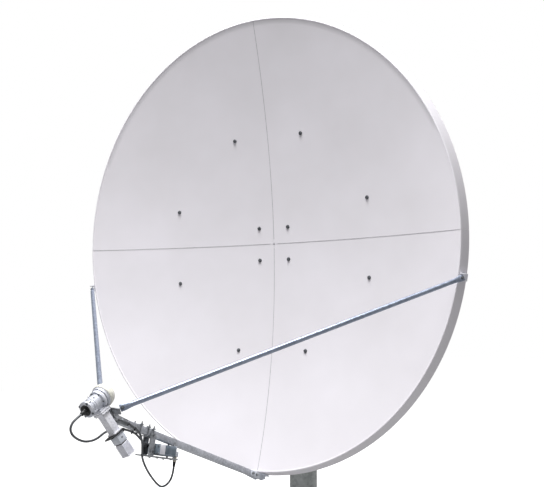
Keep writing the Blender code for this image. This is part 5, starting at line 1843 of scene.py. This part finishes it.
# ---- Feed --------------------------------------------------------------------------------------
@dataclass
class Feed:
    """The feed that turns in its clamp ring: cap, horn, transducer, filter arm and converter."""

    places: Places
    fasteners: Fasteners
    cap_radius: float = 0.050
    neck_radius: float = 0.030
    body_radius: float = 0.032
    body_end: float = -0.114
    arm_at: float = -0.047
    filter_side: float = 0.038
    port: float = 0.042
    flange_side: float = 0.056
    filter_end: float = 0.158
    flange_bolts: float = 0.0362

    @property
    def place(self) -> Matrix:
        """At the feed's mouth, turned by its skew."""
        return self.places.feed(self.places.skew)

    def build(self) -> None:
        """Builds the feed's pieces from the cap to the converter."""
        self.cap()
        self.horn()
        self.transducer()
        self.gland()
        self.filter_arm()
        self.converter()

    def cap(self) -> None:
        """The domed plastic window with its snap rim."""
        r, wall = self.cap_radius, 0.0025
        arc = [math.radians(7.5 * k) for k in range(11, 0, -1)]
        dome = [(r * math.cos(t), 0.010 + 0.045 * math.sin(t)) for t in arc]
        inside = [(x - wall * 0.9, z - wall * 0.9) for x, z in reversed(dome)]
        outline = ([(0, 0.055)] + dome + [(r, 0.010), (r, 0.0065), (r + 0.0012, 0.0055),
                                          (r + 0.0012, 0.0005), (r, -0.0008), (r, -0.003),
                                          (r - wall, -0.003), (r - wall, 0.008)]
                   + inside + [(0, 0.0525)])
        work = Work(self.place)
        work.lathe(outline, Skin.CAP, sides=64, corner=0.0005)
        work.finish("horn_window_cap", "feed", "cream_plastic", ["horn_cap"])

    def horn(self) -> None:
        """The scalar horn: a corrugated mouth under the cap, a neck and a bolted flange."""
        mouth, back = self.cap_radius - 0.0025 - 0.0004, -0.028
        grooves = []
        for k in range(4):
            r = mouth - 0.004 - 0.0062 * k
            grooves += [(r, 0.004 - 0.001 * k), (r, -0.0030), (r - 0.004, -0.0030),
                        (r - 0.004, 0.003 - 0.001 * k)]
        outline = ([(mouth, -0.003), (mouth, 0.004)] + grooves
                   + [(0.0155, -0.012), (0.0155, back), (0.041, back), (0.041, back + 0.008),
                      (self.neck_radius, back + 0.008), (self.neck_radius, -0.0055),
                      (mouth - 0.001, -0.0055)])
        work = Work(self.place)
        work.lathe(outline, Skin.WHITE, sides=56, corner=0.0006)
        for x, y in circle(6, self.flange_bolts, 20):
            work.hexagon((x, y, back + 0.0079), Z, 0.0058, 0.0034, Skin.BOLT)
        work.finish("scalar_feed_horn", "feed", "white_paint", ["feed_horn"])

    def transducer(self) -> None:
        """The orthomode transducer's cast body: flanges, a ribbed barrel and a side port."""
        r, back, end = self.body_radius, -0.028, self.body_end
        outline = [(0, back - 0.0004), (0.041, back - 0.0004), (0.041, back - 0.0078),
                   (r, back - 0.0090), (r, -0.072), (r + 0.0022, -0.0728), (r + 0.0022, -0.0762),
                   (r, -0.077), (r, -0.0835), (r + 0.0022, -0.0843), (r + 0.0022, -0.0877),
                   (r, -0.0885), (r, end + 0.014), (0.037, end + 0.0125), (0.037, end + 0.004),
                   (0.030, end), (0, end)]
        work = Work(self.place)
        work.lathe(outline, Skin.CAST, sides=56, corner=0.0008)
        half = self.filter_side / 2
        work.block((-half, 0.010, self.arm_at - half + 0.002),
                   (half, 0.0415, self.arm_at + half - 0.010), Skin.CAST, 0.002)
        work.block((-0.026, 0.0345, self.arm_at - 0.026), (0.026, 0.0415, self.arm_at + 0.017),
                   Skin.CAST, 0.0016)
        for k, (x, y) in enumerate(circle(6, self.flange_bolts, 20)):
            if k != 1:  # the side port stands in front of the second one
                work.hexagon((x, y, back - 0.0078), (0, 0, -1), 0.0064, 0.0040, Skin.DARK_BOLT)
        for lobe in circle(4, 0.033, 45):
            work.rod((*lobe, end + 0.0305), (*lobe, end + 0.004), 0.0052, Skin.CAST, 20, 0.001)
            work.bolt((*lobe, end + 0.0045), (0, 0, -1), 0.0030, Skin.DARK_BOLT)
        work.lathe(disc(0.0245, end - 0.0030, end + 0.001, 0.0148), Skin.BLACK, sides=40,
                   corner=0.0006)
        for k, turn in enumerate((200, 250, 310)):
            a = math.radians(turn)
            way = Vector((math.cos(a), math.sin(a), 0))
            seat = way * (r - 0.001) + Vector((0, 0, -0.052 - 0.004 * k))
            work.rod(seat, seat + way * 0.0060, 0.0042, Skin.CAST, 20)
            work.rod(seat + way * 0.0055, seat + way * 0.0085, 0.0024, Skin.BRASS, 16)
        work.finish("orthomode_transducer", "feed", "cast_aluminium", ["omt_body"])

    def gland(self) -> None:
        """The transmit gland: a ribbed nut and a tapered strain relief."""
        end = self.body_end
        outline = [(0, end - 0.0004), (0.0140, end - 0.0004), (0.0140, end - 0.0045),
                   (0.0122, end - 0.0050), (0.0122, end - 0.0125), (0.0100, end - 0.0145),
                   (0.0096, end - 0.0175), (0.0103, end - 0.0185), (0.0093, end - 0.0215),
                   (0.0099, end - 0.0225), (0.0089, end - 0.0255), (0.0094, end - 0.0265),
                   (0.0080, end - 0.0306), (0, end - 0.0306)]
        work = Work(self.place)
        work.lathe(outline, Skin.BLACK, sides=36, corner=0.0004)
        for x, y in circle(10, 0.0122):
            work.rod((x, y, end - 0.0052), (x, y, end - 0.0122), 0.0011, Skin.BLACK, 8)
        work.finish("transmit_strain_relief", "feed", "black_plastic", ["transmit_gland"])

    def filter_arm(self) -> None:
        """The port flange, the receive-reject filter with its tuning screws, and the plate."""
        half, wide, at = self.filter_side / 2, self.flange_side / 2, self.arm_at
        work = Work(self.place)
        work.block((-wide, self.port, at - wide), (wide, self.port + 0.0072, at + wide),
                   Skin.WHITE, 0.0016)
        work.block((-wide, self.port + 0.0080, at - wide), (wide, self.port + 0.016, at + wide),
                   Skin.WHITE, 0.0016)
        work.block((-wide + 0.001, self.port + 0.006, at - wide + 0.001),
                   (wide - 0.001, self.port + 0.010, at + wide - 0.001), Skin.BLACK, 0.0004)
        work.block((-half, self.port + 0.014, at - half), (half, self.filter_end - 0.0072,
                                                         at + half), Skin.WHITE, 0.0018)
        work.block((-0.0235, self.filter_end - 0.0074, at - 0.0235),
                   (0.0235, self.filter_end, at + 0.0235), Skin.WHITE, 0.0014)
        for x in (-0.0215, 0.0215):
            for z in (-0.0215, 0.0, 0.0215):
                work.bolt((x, self.port + 0.016, at + z), (0, 1, 0), 0.0023, Skin.BOLT)
                work.bolt((x, self.port, at + z), (0, -1, 0), 0.0023, Skin.BOLT, False)
        work.finish("receive_filter_body", "feed", "white_paint", ["receive_filter"])
        plate = Work(self.place)
        low = self.filter_end + 0.0004
        plate.plate(rectangle(-0.028, at - 0.052, 0.028, at + 0.032), low, low + 0.004, "XZ",
                    Skin.BLACK, 0.0010, 0.010)
        plate.finish("weather_gasket_plate", "feed", "black_plastic", ["weather_plate"])
        turn = self.place.to_3x3()
        spots = []
        for row, x in ((0, -0.0085), (1, 0.0085)):
            for k in range(6):
                y = self.port + 0.026 + 0.0125 * k + 0.004 * row
                spots.append((self.place @ Vector((x, y, at - half)),
                              turn @ Vector((0, 0, -1)), k * 0.7))
        for side in (-1, 1):
            for k in range(5):
                y = self.port + 0.030 + 0.0150 * k
                spots.append((self.place @ Vector((side * half, y, at)),
                              turn @ Vector((side, 0, 0)), k * 0.4))
        screw = Work()
        screw.lathe(disc(0.0027, -0.001, 0.0012), Skin.WHITE, sides=20, corner=0.0003)
        screw.hexagon((0, 0, 0.0011), Z, 0.0036, 0.0012, Skin.WHITE)
        self.fasteners.set("filter_tuning_screws", screw, spots, "feed")

    def converter(self) -> None:
        """The low-noise converter: a smooth head, a waist and a finned body with a socket."""
        at, start = self.arm_at, self.filter_end + 0.0004 + 0.004 + 0.0004
        wide = 0.023
        work = Work(self.place)
        work.block((-wide, start, at - wide), (wide, start + 0.042, at + wide), Skin.PALE, 0.003)
        work.block((-0.0195, start + 0.040, at - 0.0195), (0.0195, start + 0.048, at + 0.0195),
                   Skin.BLACK, 0.001)
        work.block((-0.0205, start + 0.046, at - 0.0205), (0.0205, start + 0.104, at + 0.0205),
                   Skin.WHITE, 0.002)
        for x, z in ((-0.017, -0.017), (0.017, -0.017), (-0.017, 0.017), (0.017, 0.017)):
            work.bolt((x, start + 0.106, at + z), (0, 1, 0), 0.0016, Skin.BOLT, False)
        work.block((-wide, start + 0.101, at - wide), (wide, start + 0.106, at + wide),
                   Skin.WHITE, 0.0014)
        for side in (-1, 1):
            work.lathe(disc(0.0045, 0, 0.0016), Skin.BOLT,
                       (side * wide * 0.999, start + 0.021, at), (side, 0, 0), 20, 0.0005)
        work.finish("low_noise_converter_case", "feed", "white_paint", ["low_noise_converter"])
        fins = row_growth().run(points_mesh([(0, 0, 0)]), count=11, step=0.0049, thick=0.0019,
                                wide=2 * wide, tall=2 * wide, finish=Skin.WHITE.material)
        fins.transform(self.place @ Matrix.Translation((0, start + 0.0495, at)))
        settle("low_noise_converter_fins", fins, "feed")


# ---- Block up-converter ------------------------------------------------------------------------
@dataclass
class Converter:
    """The block up-converter on its rail below the boom."""

    places: Places
    side: float = 0.040
    start: float = -0.035
    end: float = 0.105
    low: float = 0.0064
    high: float = 0.056
    port_radius: float = 0.009

    def build(self) -> None:
        """Builds the housing, its fins, its ports and the rail with its hangers."""
        place = self.places.converter
        work = Work(place)
        core = self.side - 0.009
        work.block((-core, self.start + 0.004, self.low),
                   (core, self.end - 0.004, self.high - 0.008), Skin.GREY, 0.003)
        for y, skin in ((self.start, Skin.GREY), (self.end - 0.006, Skin.PALE)):
            work.block((-self.side, y, self.low), (self.side, y + 0.006, self.high), skin, 0.0018)
        for side in (-1, 1):
            outer, inner = side * (self.side + 0.0006), side * (self.side - 0.0050)
            work.block((min(outer, inner), self.start + 0.004, self.low + 0.004),
                       (max(outer, inner), self.start + 0.046, self.high - 0.002), Skin.WHITE,
                       0.0016)
        work.block((-self.side, self.start, self.low), (self.side, self.end, self.low + 0.008),
                   Skin.GREY, 0.0018)
        work.block((-core + 0.004, self.start + 0.030, self.high - 0.0095),
                   (core - 0.004, self.start + 0.085, self.high - 0.001), Skin.GREY, 0.0015)
        front = (0, self.start, 0.042)
        work.lathe([(0, -0.001), (0.013, -0.001), (0.013, 0.003), (self.port_radius, 0.0034),
                    (self.port_radius, 0.014), (0, 0.014)], Skin.BRASS, front, (0, -1, 0), 32,
                   0.0005)
        work.block((-0.012, self.end - 0.005, 0.010), (0.012, 0.165, 0.034), Skin.PALE, 0.003)
        work.lathe([(0, 0), (self.port_radius, 0), (self.port_radius, 0.012), (0.0105, 0.0125),
                    (0.0105, 0.018), (0, 0.018)], Skin.BRASS, (0, 0.153, -0.004), (0, 0, 1), 32,
                   0.0005)
        for x in (-0.033, 0.033):
            for y, way in ((self.start, -1), (self.end, 1)):
                for z in (0.013, 0.048):
                    work.bolt((x, y, z), (0, way, 0), 0.0022, Skin.BOLT)
        work.finish("up_converter_case", FRAME, "grey_paint", ["buc_housing"])
        fins = row_growth().run(points_mesh([(0, 0, 0)]), count=17, step=0.0076, thick=0.0024,
                                wide=2 * self.side, tall=self.high - self.low - 0.004,
                                finish=Skin.GREY.material)
        fins.transform(place @ Matrix.Translation((0, self.start + 0.0095,
                                                   (self.low + self.high) / 2 + 0.001)))
        settle("up_converter_fins", fins, FRAME)
        rail = Work()
        rail.copy("buc_bracket", Skin.HEAD, 0.0008)
        local = Work(place)
        for y in (self.start + 0.015, self.end - 0.015):
            for x in (-0.022, 0.022):
                local.bolt((x, y, -0.006), (0, 0, -1), 0.0028, Skin.BOLT)
        for side in (-1, 1):
            for y, z in ((-0.069, 0.090), (-0.058, 0.020), (-0.080, 0.020)):
                local.bolt((side * 0.0206, y, z), (side, 0, 0), 0.0030, Skin.DARK_BOLT)
        merge(rail, local)
        rail.finish("up_converter_rail", FRAME, STEEL, ["buc_bracket"])


# ---- Leads -------------------------------------------------------------------------------------
def smooth_route(route: Sequence[Point], step: float) -> list[Vector]:
    """Points about a step apart along a smooth curve through the route's own points.

    Args:
        route: the points that it passes through.
        step: the distance wanted between its points.

    Returns:
        The points, evenly spaced, with both ends.
    """
    points = [Vector(p) for p in route]
    ends = [points[0] * 2 - points[1]] + points + [points[-1] * 2 - points[-2]]
    fine = []
    for a, b, c, d in zip(ends, ends[1:], ends[2:], ends[3:]):
        for k in range(12):
            t = k / 12
            fine.append(0.5 * ((2 * b) + (c - a) * t + (2 * a - 5 * b + 4 * c - d) * t**2
                               + (3 * b - a - 3 * c + d) * t**3))
    fine.append(points[-1])
    total = sum((q - p).length for p, q in zip(fine, fine[1:]))
    count = max(2, round(total / step))
    spaced, walked, target = [fine[0]], 0.0, total / count
    for p, q in zip(fine, fine[1:]):
        run = (q - p).length
        while len(spaced) < count and walked + run >= target * len(spaced):
            spaced.append(p.lerp(q, (target * len(spaced) - walked) / run))
        walked += run
    return spaced + [fine[-1]]


@dataclass
class Leads:
    """The transmit and receive leads, whole along their routes, with their end fittings."""

    places: Places
    radius: float = 0.005
    step: float = 0.011
    transmit: Sequence[Point] = (
        (0.0, -0.8210, 1.4604), (-0.001, -0.8330, 1.4850), (-0.005, -0.8480, 1.5050),
        (-0.010, -0.8700, 1.5130), (-0.016, -0.8920, 1.5010), (-0.022, -0.9110, 1.4760),
        (-0.029, -0.9280, 1.4400), (-0.035, -0.9400, 1.4020), (-0.041, -0.9450, 1.3640),
        (-0.046, -0.9450, 1.3270), (-0.049, -0.9390, 1.2930), (-0.050, -0.9280, 1.2640),
        (-0.044, -0.9180, 1.2390), (-0.031, -0.9110, 1.2170), (-0.016, -0.9120, 1.1970),
        (-0.007, -0.9160, 1.1760), (-0.004, -0.9240, 1.1500), (-0.003, -0.9340, 1.1210),
        (-0.001, -0.9490, 1.0930), (0.0, -0.9690, 1.0680), (0.0, -0.9890, 1.0430),
        (0.0, -1.0080, 1.0180), (0.0, -1.0168, 0.9839))
    receive: Sequence[Point] = (
        (0.0275, -0.8588, 1.2650), (0.0275, -0.8670, 1.2430), (0.0275, -0.8765, 1.2150),
        (0.0275, -0.8890, 1.1840), (0.0250, -0.9030, 1.1560), (0.0220, -0.9160, 1.1300),
        (0.0230, -0.9340, 1.1060), (0.0240, -0.9600, 1.0900), (0.0230, -0.9900, 1.0800),
        (0.0210, -1.0200, 1.0770), (0.0180, -1.0520, 1.0730), (0.0130, -1.0880, 1.0500),
        (0.0080, -1.1270, 1.0160), (0.0050, -1.1640, 0.9780), (0.0020, -1.1960, 0.9380),
        (0.0, -1.2140, 0.9030), (0.0, -1.2130, 0.8660), (0.0, -1.1960, 0.8320),
        (0.0, -1.1690, 0.8130), (0.0, -1.1390, 0.8040), (0.0, -1.1080, 0.7972))

    def build(self) -> None:
        """Builds both leads with their plugs and the ties that bundle them to the boom."""
        for name, route in (("transmit", self.transmit), ("receive", self.receive)):
            self.lead(name, [self.places.rim @ p for p in smooth_route(route, self.step)])
        self.ties()

    def lead(self, name: str, points: list[Vector]) -> None:
        """One lead at its real length, and the connector at its far end.

        Args:
            name: transmit or receive.
            points: its centre line, evenly spaced.
        """
        curve = bpy.data.curves.new(f"{name}_lead_jacket", "CURVE")
        curve.dimensions = "3D"
        curve.bevel_depth = self.radius
        curve.bevel_resolution = 5
        curve.use_fill_caps = True
        spline = curve.splines.new("POLY")
        spline.points.add(len(points) - 1)
        for place, point in zip(spline.points, points):
            place.co = (*point, 1.0)
        curve.materials.append(Skin.LEAD.material)
        lead = put(f"{name}_lead_jacket", curve)
        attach(lead, "elevation_frame")
        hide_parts(f"{name}_lead")
        plug = Work()
        end, way = points[-1], (points[-2] - points[-1]).normalized()
        plug.lathe([(self.radius + 0.0002, -0.0002), (0.0082, -0.0002), (0.0082, 0.010),
                    (0.0072, 0.0115), (0.0072, 0.017), (0.0062, 0.030),
                    (self.radius + 0.0002, 0.032)], Skin.BLACK, end, way, 28, 0.0004)
        plug.hexagon(end + way * 0.0005, way, 0.0172, 0.0075, Skin.BRASS, self.radius + 0.0003)
        made = plug.finish(f"{name}_lead_plug", FRAME, "lead_jacket")

    def ties(self) -> None:
        """Nylon ties round the leads where they run beside the boom."""
        work = Work(self.places.rim)
        for route, marks in ((self.transmit, (15, 17)), (self.receive, (3, 5))):
            for k in marks:
                a, b = Vector(route[k]), Vector(route[k + 1])
                way = (b - a).normalized()
                work.lathe(disc(0.0064, -0.0018, 0.0018, 0.0052), Skin.BLACK, a, way, 24, 0.0003)
                work.block((-0.0028, 0.0052, -0.0026), (0.0028, 0.0098, 0.0026), Skin.BLACK,
                           0.0006, along(a, way))
        work.finish("nylon_lead_ties", FRAME, "black_plastic")


# ---- Studio ------------------------------------------------------------------------------------
@dataclass
class Studio:
    """A pale floor, a white backdrop, three large soft lamps and the camera."""

    lamps: tuple = (("overhead_key", (0.0, -2.6, 8.4), 829.0),
                    ("front_key", (1.5, -4.2, 7.9), 129.0),
                    ("rear_fill", (3.5, 6.5, 5.0), 260.0))
    lamp_side: float = 3.2
    aim_at: Point = (0.0, -0.9, 1.7)
    air: float = 0.25
    bounce: str = "#a8a8a8"
    paper: str = "#f6f6f6"
    lift: float = 0.80
    floor_half: float = 14.0
    lens: float = 55.757
    rise: float = 0.0034
    sensor: float = 36.0
    stand: Point = (2.38541742, -4.16448703, -0.51161905)
    aim: Point = (-0.47677858, 0.87319393, 0.101067)

    def camera(self, middle: Vector) -> None:
        """Sets the camera from the middle of the rim.

        Args:
            middle: the middle of the rim, in the row frame.
        """
        data = bpy.data.cameras.new("camera")
        data.sensor_width, data.lens = self.sensor, self.lens
        data.shift_y = self.rise
        data.clip_end = 100
        camera = put("camera", data)
        camera.matrix_world = Matrix.Translation(middle + Vector(self.stand)) @ Vector(
            self.aim).to_track_quat("-Z", "Y").to_matrix().to_4x4()
        bpy.context.scene.camera = camera

    def floor(self) -> None:
        """A pale floor: its shade for the camera is lighter than for the light it throws up."""
        solid = bmesh.new()
        reach, near, far = self.floor_half, -self.floor_half, 3.0 * self.floor_half
        solid.faces.new([solid.verts.new(p) for p in (
            (-reach, near, 0), (reach, near, 0), (reach, far, 0), (-reach, far, 0))])
        data = bpy.data.meshes.new("studio_floor")
        solid.to_mesh(data)
        solid.free()
        paper = bpy.data.materials.new("matt_white_paper")
        paper.use_nodes = True
        tree = paper.node_tree
        shader = tree.nodes["Principled BSDF"]
        shader.inputs["Roughness"].default_value = 0.9
        seen = add(tree, "ShaderNodeLightPath").outputs["Is Camera Ray"]
        tint = shade(tree, seen, self.bounce, self.paper, 0.0, 1.0)
        tree.links.new(tint, shader.inputs["Base Color"])
        glow = add(tree, "ShaderNodeMath", {"operation": "MULTIPLY"}, {0: seen, 1: self.lift})
        shader.inputs["Emission Color"].default_value = linear("#ffffff")
        tree.links.new(glow.outputs["Value"], shader.inputs["Emission Strength"])
        data.materials.append(paper)
        floor = put("studio_floor", data)

    def lights(self) -> None:
        """A white backdrop over dim air, with two soft lamps high in front and one behind."""
        scene = bpy.context.scene
        world = bpy.data.worlds.new("studio_air")
        world.use_nodes = True
        tree = world.node_tree
        air = tree.nodes["Background"]
        air.inputs["Color"].default_value = linear("#ffffff")
        seen = add(tree, "ShaderNodeLightPath").outputs["Is Camera Ray"]
        strength = add(tree, "ShaderNodeMapRange", inputs={
            "Value": seen, "To Min": self.air, "To Max": 1.0})
        tree.links.new(strength.outputs["Result"], air.inputs["Strength"])
        scene.world = world
        scene.view_settings.view_transform = "Standard"
        for name, spot, power in self.lamps:
            data = bpy.data.lights.new(name, "AREA")
            data.shape, data.size, data.energy = "SQUARE", self.lamp_side, power
            way = Vector(self.aim_at) - Vector(spot)
            put(name, data).matrix_world = Matrix.Translation(spot) @ way.to_track_quat(
                "-Z", "Y").to_matrix().to_4x4()


def main() -> None:
    """Builds the whole antenna round its frame, in order."""
    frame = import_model()
    places = Places({j["name"]: j for j in frame["record"]["behaviour"]["joints"]})
    studio = Studio()
    studio.camera(places.rim.translation)
    studio.lights()
    studio.floor()
    fasteners = Fasteners()
    for assembly in (Leads(places), Reflector(places, fasteners), BackFrame(places, fasteners),
                     Mount(places), Jack(places), FeedSupport(places, fasteners),
                     Feed(places, fasteners), Converter(places)):
        log.info("-- %s", type(assembly).__name__)
        assembly.build()
    left = [n for n, o in frame["nodes"].items() if not o.hide_render]
    log.info("CAD nodes still shown: %s", left)
    bpy.context.view_layer.update()


if __name__ == "__main__":
    main()
